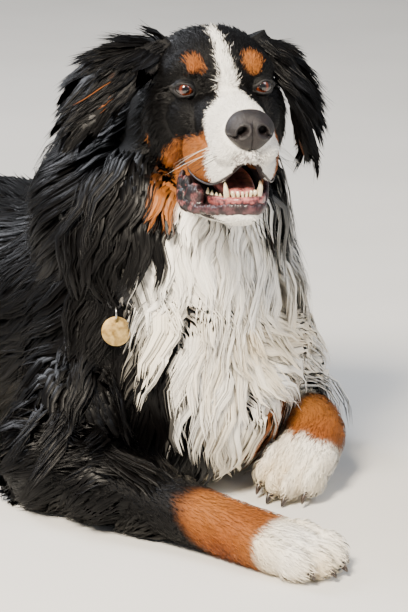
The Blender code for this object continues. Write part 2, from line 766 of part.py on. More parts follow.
def lock_rings(root, coat, hide, rng, lift):
    """The spine of a lock, laid over the body: a list of place, side, normal and size."""
    long = coat.length * rng.uniform(0.85, 1.2)
    wave = rng.uniform(0.6, 1.4) * coat.wave * long * rng.choice((-1, 1))
    low, high = coat.stand
    place, normal = hide.settle(root, 0.0)
    lie = coat.flow(place, rng)
    rings = []
    for k, (step, size) in enumerate(LOCK_STEPS):
        lie = (lie - normal * lie.dot(normal)).normalized()
        side = lie.cross(normal)
        if k == 0:
            spot = place - normal * coat.sink
        else:
            bend = wave * (math.sin(2.2 * k) - math.sin(2.2 * (k - 1)))
            lie = (lie + coat.flow(place, rng) * 0.5).normalized()
            spot = place + lie * step * long + side * bend
            if coat.hangs:
                spot += normal * (low + lift) / k
            else:
                spot, normal = hide.settle(spot, low + (high - low) * k / 3 + lift)
            place = spot
        spot.z = max(spot.z, coat.thick * size * 0.5 + 0.002)
        rings.append((spot, side, normal, size))
    return rings


def lock_mesh(rings, coat, more=0.0):
    """A flat, tapered lock along its spine: a ridge over a flat base, closed and pointed."""
    bm = bmesh.new()
    loops = []
    for spot, side, normal, size in rings[:-1]:
        wide = coat.width / 2 * size + more
        thick = coat.thick / 2 * size + more
        base = spot - normal * thick * 0.6
        corners = [base + side * wide, spot + normal * thick, base - side * wide]
        for corner in corners:
            corner.z = max(corner.z, LOWEST_LOCK)
        loops.append([bm.verts.new(corner) for corner in corners])
    tip = bm.verts.new(rings[-1][0])
    for a, b in zip(loops, loops[1:]):
        for i in range(3):
            n = (i + 1) % 3
            bm.faces.new((a[i], a[n], b[n], b[i]))
    for i in range(3):
        bm.faces.new((loops[-1][i], loops[-1][(i + 1) % 3], tip))
    bm.faces.new(loops[0][::-1])
    bmesh.ops.recalc_face_normals(bm, faces=bm.faces)
    bmesh.ops.triangulate(bm, faces=bm.faces)
    return bm


def roots_on(obj, coat, hide, rng):
    """Evenly spread places on a node's bare surface where its coat grows."""
    mesh = obj.data
    mesh.calc_loop_triangles()
    triangles = list(mesh.loop_triangles)
    areas = np.cumsum([t.area for t in triangles])
    chosen = []
    for _ in range(coat.count * 80):
        if len(chosen) == coat.count:
            break
        triangle = triangles[int(np.searchsorted(areas, rng.random() * areas[-1]))]
        a, b, c = (mesh.vertices[i].co for i in triangle.vertices)
        u, v = sorted((rng.random(), rng.random()))
        place = a * u + b * (v - u) + c * (1 - v)
        if any((place - other).length < coat.apart for other in chosen):
            continue
        if coat.grows(place) and hide.bare(place, obj.name, coat.clear):
            chosen.append(place.copy())
    return chosen


def grow_coats(coats, nodes):
    """Grow the locks of each node clear of the other nodes and their locks, and fuse them."""
    solid = {node.name: tree_of(node) for node in nodes}
    grown = []
    locks = {}
    for number, (node, coat, hide) in enumerate(coats):
        rng = Random(100 + number)
        for root in roots_on(node, coat, hide, rng):
            state = rng.getstate()
            for lift in LOCK_LIFTS:
                rng.setstate(state)
                rings = lock_rings(root, coat, hide, rng, lift)
                probe = lock_mesh(rings, coat, LOCK_CLEAR)
                tree = BVHTree.FromBMesh(probe)
                probe.free()
                others = [t for name, t in (*solid.items(), *grown) if name != node.name]
                if not any(tree.overlap(other) for other in others):
                    locks.setdefault(node, []).append(object_of("Lock", lock_mesh(rings, coat)))
                    grown.append((node.name, tree))
                    break
    for node, pieces in locks.items():
        combined(node, pieces, "UNION")


def flow_neck(place, rng):
    """Down the throat, and down and back over the sides and the nape."""
    back = 0.15 + 0.9 * max(0.0, min(1.0, (place.y + 0.33) / 0.15))
    return Vector((0.35 * place.x / 0.1 * rng.uniform(0.2, 1), back, -1)).normalized()


def flow_bib(place, rng):
    """Down over the chest, and a little apart from its middle."""
    return Vector((place.x * 1.5 + rng.uniform(-0.25, 0.25), 0.15, -1.0)).normalized()


def flow_torso(place, rng):
    """Back and a little down along the back and the flanks, down behind."""
    rear = max(0.0, min(1.0, (place.y - 0.28) / 0.08))
    flank = Vector((place.x * 1.6, 1.0, -0.2 - 2.6 * abs(place.x) - 0.3 * rng.random()))
    breech = Vector((place.x, 0.35, -1.0))
    return (flank * (1 - rear) + breech * rear).normalized()


def flow_thigh(place, rng):
    """Back and down over the thigh, behind it downwards."""
    return Vector((place.x * 0.6, 1.0, -0.6 - 0.5 * rng.random())).normalized()


def flow_tail(place, rng):
    """Along the tail and outwards to both sides."""
    middle = 0.35 * (place.y - 0.45)
    side = math.copysign(1, place.x - middle)
    return Vector((0.25 + side * rng.uniform(0.2, 0.5), 1.0, -0.15)).normalized()


def flow_foreleg(place, rng):
    """Back from the forearm towards the elbow and the floor."""
    return Vector((place.x * 1.5, 1.0, -0.5)).normalized()


def flow_cheek(place, rng):
    """Back and down over the cheek, in the head's own frame."""
    side = math.copysign(1, (HEAD_FRAME.inverted() @ place).x)
    return (HEAD_FRAME.to_3x3() @ Vector((0.35 * side, 1.0, -0.9 - 0.4 * rng.random()))).normalized()


def flow_ear(place, rng):
    """Down along the flap and out to its edge."""
    side = math.copysign(1, (HEAD_FRAME.inverted() @ place).x)
    return (HEAD_FRAME.to_3x3() @ Vector((side * rng.uniform(0.3, 0.9), 0.2, -1.0))).normalized()


def coat_table(hide, ear_hide, head, ears, neck, torso, legs, tail):
    """Each node that carries locks, with the coat of each of its regions and what it lies over."""
    fore_left, fore_right, hind_left, hind_right = legs
    thigh = Coat(9, 0.070, 0.130, 0.074, 0.013, (0.005, 0.016), flow_thigh,
                 lambda p: p.z > 0.05 and p.y > 0.06 and abs(p.x) > 0.11)
    elbow = Coat(4, 0.040, 0.070, 0.038, 0.010, (0.004, 0.010), flow_foreleg,
                 lambda p: p.y > -0.36 and p.z > 0.02 and abs(p.x) > 0.15, clear=0.004)
    fringe = Coat(4, 0.026, 0.055, 0.026, 0.006, (0.002, 0.004), flow_ear,
                  lambda p: p.z < 0.475, wave=0.15, sink=0.0015, clear=0.004, hangs=True)
    cheek = Coat(9, 0.034, 0.055, 0.036, 0.008, (0.003, 0.010), flow_cheek,
                 lambda p: on_cheek(HEAD_FRAME.inverted() @ p), sink=0.006, clear=0.004)
    ruff = Coat(32, 0.050, 0.125, 0.054, 0.013, (0.006, 0.018), flow_neck,
                lambda p: p.z > 0.20, clear=0.003)
    bib = Coat(23, 0.047, 0.130, 0.053, 0.013, (0.007, 0.022), flow_bib,
               lambda p: p.z > 0.06 and p.y < -0.265 and abs(p.x) < 0.15, wave=0.14, clear=0.002)
    back = Coat(36, 0.078, 0.145, 0.078, 0.014, (0.006, 0.018), flow_torso,
                lambda p: p.z > 0.045 and p.y > -0.27)
    plume = Coat(9, 0.050, 0.125, 0.048, 0.013, (0.004, 0.016), flow_tail, lambda p: p.y > 0.40)
    return [
        (torso, bib, hide),
        (torso, back, hide),
        (hind_left, thigh, hide),
        (hind_right, thigh, hide),
        (tail, plume, hide),
        (fore_left, elbow, hide),
        (fore_right, elbow, hide),
        (neck, ruff, hide),
        (head, cheek, hide),
        *((ear, fringe, ear_hide) for ear in ears),
    ]


def on_cheek(place):
    """Whether a place in the head's frame lies where the cheek's ruff grows."""
    return abs(place.x) > 4.6 and place.y > 0.5 and -8.5 < place.z < 1.5


def main():
    """Build every node of the dog."""
    clear_scene()
    finishes = {
        "black_coat": material("Black coat", (0.010, 0.009, 0.009), 0.6),
        "white_coat": material("White coat", (0.72, 0.68, 0.60), 0.7),
        "nose": material("Nose leather", (0.03, 0.024, 0.022), 0.4),
        "eye": material("Eye", (0.10, 0.03, 0.008), 0.08),
        "mouth": material("Lips and tongue", (0.42, 0.13, 0.12), 0.35),
        "collar": material("Collar webbing", (0.02, 0.02, 0.022), 0.7),
        "brass": material("Brass", (0.60, 0.42, 0.16), 0.35, 1.0),
    }
    eyes = make_eyes()
    nose = make_nose()
    jaw = make_jaw()
    tongue = cut_clear(make_tongue(), [jaw])
    head = make_head()
    cut_clear(head, [nose, jaw, tongue])
    ears = make_ears()
    for ear in ears:
        cut_clear(ear, [head])
    collar = make_collar()
    tag_ring, tag = make_tag(collar)
    neck = make_neck()
    legs = make_forelegs() + make_hindlegs()
    tail = make_tail()
    torso = make_torso()
    hide = Hide([head, jaw, neck, torso, tail, collar, *legs])
    worn = [collar, tag_ring, tag]
    cut_clear(torso, [neck, tail, *worn, *legs])
    cut_clear(neck, [head, jaw, *worn, *ears])
    grow_coats(coat_table(hide, Hide([head, *ears]), head, ears, neck, torso, legs, tail),
               [*eyes, nose, jaw, tongue, head, *ears, *worn, neck, torso, *legs, tail])
    for obj in [head, neck, torso, tail, *legs, *ears]:
        obj.data.materials.clear()
        obj.data.materials.append(finishes["black_coat"])
    for obj in eyes:
        obj.data.materials.append(finishes["eye"])
    for obj in (jaw, tongue):
        obj.data.materials.clear()
        obj.data.materials.append(finishes["mouth"])
    nose.data.materials.clear()
    nose.data.materials.append(finishes["nose"])
    collar.data.materials.clear()
    collar.data.materials.append(finishes["collar"])
    for obj in (tag_ring, tag):
        obj.data.materials.clear()
        obj.data.materials.append(finishes["brass"])


main()
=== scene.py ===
"""Looks of a life-size Bernese mountain dog that lies on its belly with its head up.

Metres, +Z up, the dog facing -Y, its left side at +X. One skin stands for the flesh of the
solids, tufts of coat grow from it, and the eyes, nose, mouth, claws and tag are pieces of their
own. The head has a frame of its own in centimetres, with the muzzle along -Y.
"""

import json
import logging
import math
from dataclasses import dataclass
from enum import Enum
from typing import Callable, Iterable, Optional, Sequence

import bmesh
import bpy
import numpy as np
from mathutils import Matrix, Vector
from mathutils.bvhtree import BVHTree
from mathutils.kdtree import KDTree

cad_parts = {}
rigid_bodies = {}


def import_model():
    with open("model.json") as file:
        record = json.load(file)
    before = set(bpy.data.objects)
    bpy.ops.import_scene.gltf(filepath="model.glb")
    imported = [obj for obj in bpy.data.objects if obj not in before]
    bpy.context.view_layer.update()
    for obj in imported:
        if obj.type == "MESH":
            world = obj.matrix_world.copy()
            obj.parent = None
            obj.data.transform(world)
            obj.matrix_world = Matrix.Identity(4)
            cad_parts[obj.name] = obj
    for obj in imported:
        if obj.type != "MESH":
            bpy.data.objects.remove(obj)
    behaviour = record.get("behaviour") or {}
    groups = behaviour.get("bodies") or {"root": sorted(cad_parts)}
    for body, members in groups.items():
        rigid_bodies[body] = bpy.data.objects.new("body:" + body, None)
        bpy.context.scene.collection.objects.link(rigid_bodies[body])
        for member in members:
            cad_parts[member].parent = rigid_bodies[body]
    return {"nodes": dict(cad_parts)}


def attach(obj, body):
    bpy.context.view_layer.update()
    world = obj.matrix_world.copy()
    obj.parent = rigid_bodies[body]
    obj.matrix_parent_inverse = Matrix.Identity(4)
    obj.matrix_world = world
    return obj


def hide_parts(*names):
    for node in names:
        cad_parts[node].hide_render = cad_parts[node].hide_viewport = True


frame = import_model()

LOG = logging.getLogger("bernese")
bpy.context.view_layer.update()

CM = 0.01
HEAD_AT = Vector((-0.050, -0.385, 0.475))
HEAD_YAW = math.radians(-28)
HEAD_PITCH = math.radians(4)
HEAD = (
    Matrix.Translation(HEAD_AT)
    @ Matrix.Rotation(HEAD_YAW, 4, "Z")
    @ Matrix.Rotation(-HEAD_PITCH, 4, "X")
    @ Matrix.Scale(CM, 4)
)
HEAD_INVERSE = HEAD.inverted()

# Depth of the coat inside the solids, where the skin lies, in metres and on the head in cm
TRUNK_COAT = 0.013
NECK_COAT = 0.014
LEG_COAT = 0.005
TAIL_COAT = 0.012
HEAD_COAT = 0.30

EYE_PLACE = Vector((4.15, 1.0, 0.1))
EYE_RADIUS = 1.15
LIP_LINE = (
    (4.6, -1.6, -7.5), (4.5, -3.2, -8.3), (3.95, -5.2, -8.9), (3.2, -7.2, -9.05), (2.45, -8.8, -8.5),
    (1.5, -10.1, -7.5), (0.55, -10.9, -6.5),
)
NOSE_PLACE = Vector((0.12, -10.9, -2.95))
NOSE_SIZE = Vector((2.62, 1.8, 2.15))

RIGHT_ELBOW = Vector((-0.180, -0.240, 0.055))
LEFT_ELBOW = Vector((0.164, -0.215, 0.056))
RIGHT_WRIST = Vector((-0.128, -0.480, 0.032))
RIGHT_TOES = Vector((-0.098, -0.592, 0.019))
LEFT_WRIST = Vector((0.104, -0.372, 0.062))
LEFT_TOES = Vector((0.034, -0.392, 0.022))


class Side(Enum):
    """The dog's own left and right."""

    LEFT = 1
    RIGHT = -1


def linear(colour: str) -> tuple[float, float, float]:
    """Turn an sRGB hex colour to linear RGB.

    Args:
        colour: Six hex digits.

    Returns:
        Red, green and blue, from 0 to 1.
    """
    shares = (int(colour[i : i + 2], 16) / 255 for i in (0, 2, 4))
    return tuple(v / 12.92 if v <= 0.04045 else ((v + 0.055) / 1.055) ** 2.4 for v in shares)


def head_local(places: np.ndarray) -> np.ndarray:
    """Give world places in the head's own frame, in centimetres.

    Args:
        places: World places, one row each.

    Returns:
        The same places in the head's frame.
    """
    turn = np.array(HEAD_INVERSE)
    return places @ turn[:3, :3].T + turn[:3, 3]


def head_direction(ways: np.ndarray) -> np.ndarray:
    """Turn directions of the head's frame into unit directions of the world.

    Args:
        ways: Directions, one row each.

    Returns:
        Unit directions in the world.
    """
    turned = ways @ (np.array(HEAD)[:3, :3] / CM).T
    return unit(turned)


def unit(ways: np.ndarray) -> np.ndarray:
    """Scale rows to length 1."""
    return ways / np.maximum(np.linalg.norm(ways, axis=-1, keepdims=True), 1e-9)


def ramp(values: np.ndarray, start: float, end: float) -> np.ndarray:
    """Rise smoothly from 0 at start to 1 at end, also where end is below start."""
    t = np.clip((values - start) / (end - start), 0, 1)
    return t * t * (3 - 2 * t)


def smooth_rows(rows: Sequence[Sequence[float]], steps: int) -> np.ndarray:
    """Put Catmull-Rom rows between the rows of a table.

    Args:
        rows: The table.
        steps: How many rows each gap becomes.

    Returns:
        The finer table.
    """
    table = np.array(rows, float)
    padded = np.vstack([2 * table[0] - table[1], table, 2 * table[-1] - table[-2]])
    out = []
    for i in range(1, len(padded) - 2):
        before, start, end, after = padded[i - 1 : i + 3]
        for t in np.arange(steps) / steps:
            bend = 2 * before - 5 * start + 4 * end - after
            twist = 3 * start - before - 3 * end + after
            out.append(0.5 * (2 * start + (end - before) * t + bend * t**2 + twist * t**3))
    out.append(table[-1])
    return np.array(out)


def pushed(bm: bmesh.types.BMesh, face: bmesh.types.BMFace, inner: bool) -> bmesh.types.BMFace:
    """Extrude a face.

    Args:
        bm: The mesh.
        face: The face.
        inner: Whether the face closes nothing and goes.

    Returns:
        The new face.
    """
    grown = bmesh.ops.extrude_face_region(bm, geom=[face])
    if inner and face.is_valid:
        bmesh.ops.delete(bm, geom=[face], context="FACES_ONLY")
    return next(g for g in grown["geom"] if isinstance(g, bmesh.types.BMFace))


class Clay:
    """Closed forms piled up in one bmesh, ready to be fused into a surface."""

    def __init__(self, place: Optional[Matrix] = None) -> None:
        """Start empty, with the frame that all forms are given in."""
        self.bm = bmesh.new()
        self.turn = self.bm.verts.layers.float.new("turn")
        self.place = place or Matrix.Identity(4)

    def ball(self, middle: Sequence[float], radii: Sequence[float],
             turn: Sequence[float] = (0, 0, 0), fine: int = 20) -> None:
        """Add an ellipsoid.

        Args:
            middle: Its centre.
            radii: Its three half axes.
            turn: Degrees about X, Y and Z.
            fine: Segments round it.
        """
        spin = Matrix.Identity(4)
        for axis, angle in zip("XYZ", turn):
            spin = Matrix.Rotation(math.radians(angle), 4, axis) @ spin
        size = Matrix.Diagonal((*radii, 1))
        bmesh.ops.create_uvsphere(
            self.bm, u_segments=fine, v_segments=fine // 2, radius=1,
            matrix=self.place @ Matrix.Translation(Vector(middle)) @ spin @ size,
        )

    def limb(self, rows: Sequence[Sequence[float]], back: Sequence[float] = (0, 0, 1),
             sides: int = 20, steps: int = 3, inset: float = 0.0) -> None:
        """Add a closed limb by extruding an oval outline from station to station.

        Args:
            rows: Stations: x, y, z of the middle, half width, half height on the side of
                back, half height on the other side, and squareness, where 2 is an ellipse.
            back: The direction of the limb's upper side.
            sides: Sides of the outline.
            steps: Stations per gap between rows.
            inset: How much smaller each half size is than the row says.
        """
        stations = smooth_rows(rows, steps)
        made = bmesh.ops.create_circle(self.bm, cap_ends=True, segments=sides, radius=1.0)
        for vert in made["verts"]:
            vert[self.turn] = math.atan2(vert.co.y, vert.co.x)
        face = made["verts"][0].link_faces[0]
        for i, station in enumerate(stations):
            if i:
                face = pushed(self.bm, face, i > 1)
            middle = Vector(station[:3])
            ahead = Vector(stations[min(i + 1, len(stations) - 1)][:3])
            ahead = (ahead - Vector(stations[max(i - 1, 0)][:3])).normalized()
            up = Vector(back)
            up = (up - ahead * up.dot(ahead)).normalized()
            side = up.cross(ahead)
            least = 0.25 * min(station[3:6])
            wide, high, low = (max(value - inset, least) for value in station[3:6])
            for vert in face.verts:
                c, s = math.cos(vert[self.turn]), math.sin(vert[self.turn])
                x = wide * math.copysign(abs(c) ** (2 / station[6]), c)
                y = (high if s > 0 else low) * math.copysign(abs(s) ** (2 / station[6]), s)
                vert.co = self.place @ (middle + side * x + up * y)

    def tube(self, points: Iterable[Sequence[float]], radius: float, sides: int = 8,
             steps: int = 3, ends: float = 0.5) -> None:
        """Add a round bar along points, thinner at its ends.

        Args:
            points: The points of its middle line.
            radius: Its radius.
            sides: Sides of its outline.
            steps: Stations per gap between points.
            ends: The share of the radius that its ends have.
        """
        listed = [tuple(p) for p in points]
        rows = [(*p, *(radius * (ends if i in (0, len(listed) - 1) else 1.0),) * 3, 2)
                for i, p in enumerate(listed)]
        self.limb(rows, back=(0.02, 0.05, 1), sides=sides, steps=steps)

    def flesh(self, name: str) -> bpy.types.Object:
        """Turn the pile into a linked object and let the bmesh go."""
        bmesh.ops.recalc_face_normals(self.bm, faces=self.bm.faces)
        mesh = bpy.data.meshes.new(name)
        self.bm.to_mesh(mesh)
        self.bm.free()
        return linked(name, mesh)

    def fused(self, name: str, voxel: float, smooth: int) -> bpy.types.Object:
        """Fuse all forms into one smooth closed surface.

        Args:
            name: The name of the object.
            voxel: The grid of the fused surface.
            smooth: Smoothing passes.

        Returns:
            The fused object.
        """
        obj = self.flesh(name)
        remesh = obj.modifiers.new("Fuse", "REMESH")
        remesh.mode = "VOXEL"
        remesh.voxel_size = voxel
        soften = obj.modifiers.new("Soften", "SMOOTH")
        soften.factor = 0.5
        soften.iterations = smooth
        return baked(obj)


def linked(name: str, mesh: bpy.types.Mesh) -> bpy.types.Object:
    """Put a mesh in the scene as an object of that name."""
    obj = bpy.data.objects.new(name, mesh)
    bpy.context.scene.collection.objects.link(obj)
    return obj


def baked(obj: bpy.types.Object) -> bpy.types.Object:
    """Replace an object's mesh by the one that its modifiers make."""
    graph = bpy.context.evaluated_depsgraph_get()
    mesh = bpy.data.meshes.new_from_object(obj.evaluated_get(graph))
    obj.modifiers.clear()
    obj.data = mesh
    return obj


def combined(obj: bpy.types.Object, others: Sequence[bpy.types.Object],
             operation: str) -> bpy.types.Object:
    """Apply one Boolean with several objects, which are then removed.

    Args:
        obj: The object that is changed.
        others: Closed objects.
        operation: UNION or DIFFERENCE.

    Returns:
        The changed object.
    """
    group = bpy.data.collections.new("Group")
    bpy.context.scene.collection.children.link(group)
    for other in others:
        group.objects.link(other)
    modifier = obj.modifiers.new(operation, "BOOLEAN")
    modifier.operation = operation
    modifier.operand_type = "COLLECTION"
    modifier.collection = group
    modifier.solver = "MANIFOLD"
    baked(obj)
    for other in others:
        bpy.data.objects.remove(other, do_unlink=True)
    bpy.data.collections.remove(group)
    return obj


def sided(values: Sequence[float], side: Side) -> tuple[float, ...]:
    """The place or size on that side of the dog, given for its left."""
    return (values[0] * side.value, *values[1:])


def with_node(tree: bpy.types.NodeTree, kind: str, settings: Optional[dict] = None,
              links: Optional[dict] = None) -> bpy.types.Node:
    """Add a shader node.

    Args:
        tree: The material's node tree.
        kind: The node's type.
        settings: Values by input name, or by property name.
        links: Output sockets by the name or number of the input they feed.

    Returns:
        The node.
    """
    node = tree.nodes.new(kind)
    for key, value in (settings or {}).items():
        if isinstance(key, int) or key in node.inputs:
            node.inputs[key].default_value = value
        else:
            setattr(node, key, value)
    for key, socket in (links or {}).items():
        tree.links.new(socket, node.inputs[key])
    return node


def ramp_node(tree: bpy.types.NodeTree, factor: bpy.types.NodeSocket,
              stops: Sequence[tuple[float, tuple]]) -> bpy.types.NodeSocket:
    """Add a colour ramp.

    Args:
        tree: The material's node tree.
        factor: What drives the ramp.
        stops: Place and linear colour of each stop.

    Returns:
        The ramp's colour.
    """
    node = with_node(tree, "ShaderNodeValToRGB", links={0: factor})
    while len(node.color_ramp.elements) < len(stops):
        node.color_ramp.elements.new(0.5)
    for element, (place, colour) in zip(node.color_ramp.elements, stops):
        element.position = place
        element.color = (*colour, 1)
    return node.outputs[0]


@dataclass(frozen=True)
class Finish:
    """A Principled finish: its name and the numbers that are the same all over."""

    name: str
    roughness: float
    specular: float = 0.5
    metallic: float = 0.0
    coat: float = 0.0
    sheen: float = 0.0
    scatter: float = 0.0

    def start(self) -> tuple[bpy.types.Material, bpy.types.NodeTree, bpy.types.Node]:
        """Make the material with its constants set on the shader's own sockets."""
        material = bpy.data.materials.new(self.name)
        material.use_nodes = True
        tree = material.node_tree
        shader = tree.nodes["Principled BSDF"]
        shader.inputs["Roughness"].default_value = self.roughness
        shader.inputs["Specular IOR Level"].default_value = self.specular
        shader.inputs["Metallic"].default_value = self.metallic
        shader.inputs["Coat Weight"].default_value = self.coat
        shader.inputs["Coat Roughness"].default_value = 0.06
        shader.inputs["Sheen Weight"].default_value = self.sheen
        if self.scatter:
            shader.inputs["Subsurface Weight"].default_value = self.scatter
            shader.inputs["Subsurface Scale"].default_value = 0.004
            shader.inputs["Subsurface Radius"].default_value = (1.0, 0.35, 0.2)
        return material, tree, shader


def coat_finish() -> bpy.types.Material:
    """Dog hair: a soft tube of keratin, glossy along its length, streaked from hair to hair."""
    material, tree, shader = Finish("dog_hair", 0.36, specular=0.14).start()
    colour = with_node(tree, "ShaderNodeAttribute", {"attribute_name": "Coat"})
    strand = with_node(tree, "ShaderNodeUVMap", {"uv_map": "Hair"})
    # A tuft is drawn as some ten hairs across, coarser than real ones so that they show
    scaled = with_node(tree, "ShaderNodeMapping", {"Scale": (9.0, 1.2, 1.0)}, {"Vector": strand.outputs[0]})
    streak = with_node(tree, "ShaderNodeTexNoise", {"Scale": 1.0, "Detail": 2.0}, {"Vector": scaled.outputs[0]})
    shade = with_node(tree, "ShaderNodeMapRange",
                      {"From Min": 0.3, "From Max": 0.7, "To Min": 0.78, "To Max": 1.16},
                      {"Value": streak.outputs[0]})
    mixed = with_node(tree, "ShaderNodeVectorMath", {"operation": "SCALE"},
                      {0: colour.outputs["Color"], "Scale": shade.outputs[0]})
    bump = with_node(tree, "ShaderNodeBump", {"Strength": 0.5, "Distance": 0.0006}, {"Height": streak.outputs[0]})
    tree.links.new(mixed.outputs[0], shader.inputs["Base Color"])
    tree.links.new(bump.outputs[0], shader.inputs["Normal"])
    return material


def skin_finish() -> bpy.types.Material:
    """Skin under the coat, with the short hair on it drawn as fine grain in its colour."""
    material, tree, shader = Finish("skin_with_underfur", 0.6, specular=0.2).start()
    colour = with_node(tree, "ShaderNodeAttribute", {"attribute_name": "Coat"})
    place = with_node(tree, "ShaderNodeTexCoord")
    # Hairs of about 1 mm, drawn as grain
    grain = with_node(tree, "ShaderNodeTexNoise", {"Scale": 900.0, "Detail": 3.0},
                      {"Vector": place.outputs["Object"]})
    shade = with_node(tree, "ShaderNodeMapRange",
                      {"From Min": 0.3, "From Max": 0.7, "To Min": 0.7, "To Max": 1.05},
                      {"Value": grain.outputs[0]})
    mixed = with_node(tree, "ShaderNodeVectorMath", {"operation": "SCALE"},
                      {0: colour.outputs["Color"], "Scale": shade.outputs[0]})
    bump = with_node(tree, "ShaderNodeBump", {"Strength": 0.6, "Distance": 0.001}, {"Height": grain.outputs[0]})
    tree.links.new(mixed.outputs[0], shader.inputs["Base Color"])
    tree.links.new(bump.outputs[0], shader.inputs["Normal"])
    return material


def eye_finish(middle: Vector, gaze: Vector) -> bpy.types.Material:
    """Wet eyeball: dark pupil, red-brown iris with a fine grain, dark rim, brownish white.

    Args:
        middle: The centre of the eyeball in the world.
        gaze: The unit direction it looks in.

    Returns:
        The material.
    """
    material, tree, shader = Finish("wet_eye", 0.12, coat=1.0).start()
    place = with_node(tree, "ShaderNodeTexCoord")
    out = with_node(tree, "ShaderNodeVectorMath", {"operation": "SUBTRACT", 1: middle},
                    {0: place.outputs["Object"]})
    away = with_node(tree, "ShaderNodeVectorMath", {"operation": "NORMALIZE"}, {0: out.outputs[0]})
    facing = with_node(tree, "ShaderNodeVectorMath", {"operation": "DOT_PRODUCT", 1: gaze},
                       {0: away.outputs[0]})
    angle = with_node(tree, "ShaderNodeMath", {"operation": "ARCCOSINE"}, {0: facing.outputs["Value"]})
    # Iris 13 mm and pupil 5 mm across on an eyeball of 23 mm
    share = with_node(tree, "ShaderNodeMapRange",
                      {"From Min": 0.0, "From Max": 1.0, "To Min": 0.0, "To Max": 1.0},
                      {"Value": angle.outputs[0]})
    grain = with_node(tree, "ShaderNodeTexNoise", {"Scale": 1800.0, "Detail": 2.0},
                      {"Vector": place.outputs["Object"]})
    wobble = with_node(tree, "ShaderNodeMath", {"operation": "MULTIPLY_ADD", 1: 0.05, 2: -0.025},
                       {0: grain.outputs[0]})
    total = with_node(tree, "ShaderNodeMath", {"operation": "ADD"},
                      {0: share.outputs[0], 1: wobble.outputs[0]})
    colour = ramp_node(tree, total.outputs[0], (
        (0.0, linear("030203")), (0.27, linear("030203")), (0.32, linear("2c1006")),
        (0.50, linear("5e260e")), (0.64, linear("3a1608")), (0.72, linear("0e0605")),
        (0.80, linear("0e0807")), (1.0, linear("1d1412")),
    ))
    tree.links.new(colour, shader.inputs["Base Color"])
    return material


def leather_finish(name: str, dark: str, pale: str, grain: float, depth: float,
                   roughness: float, coat: float = 0.0) -> bpy.types.Material:
    """Bare skin such as nose leather or lids: pebbled, mottled between two shades.

    Args:
        name: The material's name.
        dark: The darker shade.
        pale: The paler shade.
        grain: The size of a pebble in millimetres.
        depth: The depth of the pebbles in metres.
        roughness: The finish's roughness.
        coat: How wet it is.

    Returns:
        The material.
    """
    material, tree, shader = Finish(name, roughness, coat=coat).start()
    place = with_node(tree, "ShaderNodeTexCoord")
    pebble = with_node(tree, "ShaderNodeTexVoronoi", {"Scale": 1000.0 / grain},
                       {"Vector": place.outputs["Object"]})
    cloud = with_node(tree, "ShaderNodeTexNoise", {"Scale": 140.0, "Detail": 3.0},
                      {"Vector": place.outputs["Object"]})
    colour = ramp_node(tree, cloud.outputs[0], ((0.35, linear(dark)), (0.65, linear(pale))))
    bump = with_node(tree, "ShaderNodeBump", {"Strength": 0.6, "Distance": depth, "invert": True},
                     {"Height": pebble.outputs[0]})
    tree.links.new(colour, shader.inputs["Base Color"])
    tree.links.new(bump.outputs[0], shader.inputs["Normal"])
    return material


def gum_finish(name: str, patches: float) -> bpy.types.Material:
    """Wet gum and lip: pink flesh with black patches of pigment.

    Args:
        name: The material's name.
        patches: How much of it is black, from 0 to 1.

    Returns:
        The material.
    """
    material, tree, shader = Finish(name, 0.35, coat=0.25, scatter=0.1).start()
    place = with_node(tree, "ShaderNodeTexCoord")
    cloud = with_node(tree, "ShaderNodeTexNoise", {"Scale": 110.0, "Detail": 3.0, "Roughness": 0.6},
                      {"Vector": place.outputs["Object"]})
    fine = with_node(tree, "ShaderNodeTexNoise", {"Scale": 700.0, "Detail": 2.0},
                     {"Vector": place.outputs["Object"]})
    edge = 0.5 + 0.35 * (patches - 0.5)
    colour = ramp_node(tree, cloud.outputs[0], (
        (max(edge - 0.08, 0.0), linear("1d1517")), (edge, linear("5a3236")), (edge + 0.05, linear("96504f")),
        (edge + 0.2, linear("c07772")),
    ))
    bump = with_node(tree, "ShaderNodeBump", {"Strength": 0.4, "Distance": 0.0006},
                     {"Height": fine.outputs[0]})
    tree.links.new(colour, shader.inputs["Base Color"])
    tree.links.new(bump.outputs[0], shader.inputs["Normal"])
    return material


def lip_finish() -> bpy.types.Material:
    """Lower lip: dark mauve skin, black towards the right corner, where pink shows in patches."""
    material, tree, shader = Finish("lower_lip_skin", 0.42, specular=0.4, coat=0.15).start()
    place = with_node(tree, "ShaderNodeTexCoord")
    cloud = with_node(tree, "ShaderNodeTexNoise", {"Scale": 130.0, "Detail": 4.0, "Roughness": 0.65},
                      {"Vector": place.outputs["Object"]})
    fine = with_node(tree, "ShaderNodeTexNoise", {"Scale": 900.0, "Detail": 2.0},
                     {"Vector": place.outputs["Object"]})
    corner = HEAD @ Vector((-5.2, -3.2, -10.6))
    away = with_node(tree, "ShaderNodeVectorMath", {"operation": "DISTANCE", 1: corner}, {0: place.outputs["Object"]})
    near = with_node(tree, "ShaderNodeMapRange", {"From Min": 0.014, "From Max": 0.032, "To Min": 1.0, "To Max": 0.0},
                     {"Value": away.outputs["Value"]})
    band = ramp_node(tree, cloud.outputs[0], (
        (0.30, linear("150d0f")), (0.48, linear("2e1c1f")), (0.66, linear("5c393c")),
    ))
    flap = ramp_node(tree, cloud.outputs[0], (
        (0.40, linear("080607")), (0.53, linear("0e0a0b")), (0.59, linear("74403f")), (0.72, linear("b87a76")),
    ))
    mixed = with_node(tree, "ShaderNodeMix", {"data_type": "RGBA"}, {0: near.outputs[0], 6: band, 7: flap})
    bump = with_node(tree, "ShaderNodeBump", {"Strength": 0.5, "Distance": 0.0006}, {"Height": fine.outputs[0]})
    tree.links.new(mixed.outputs[2], shader.inputs["Base Color"])
    tree.links.new(bump.outputs[0], shader.inputs["Normal"])
    return material


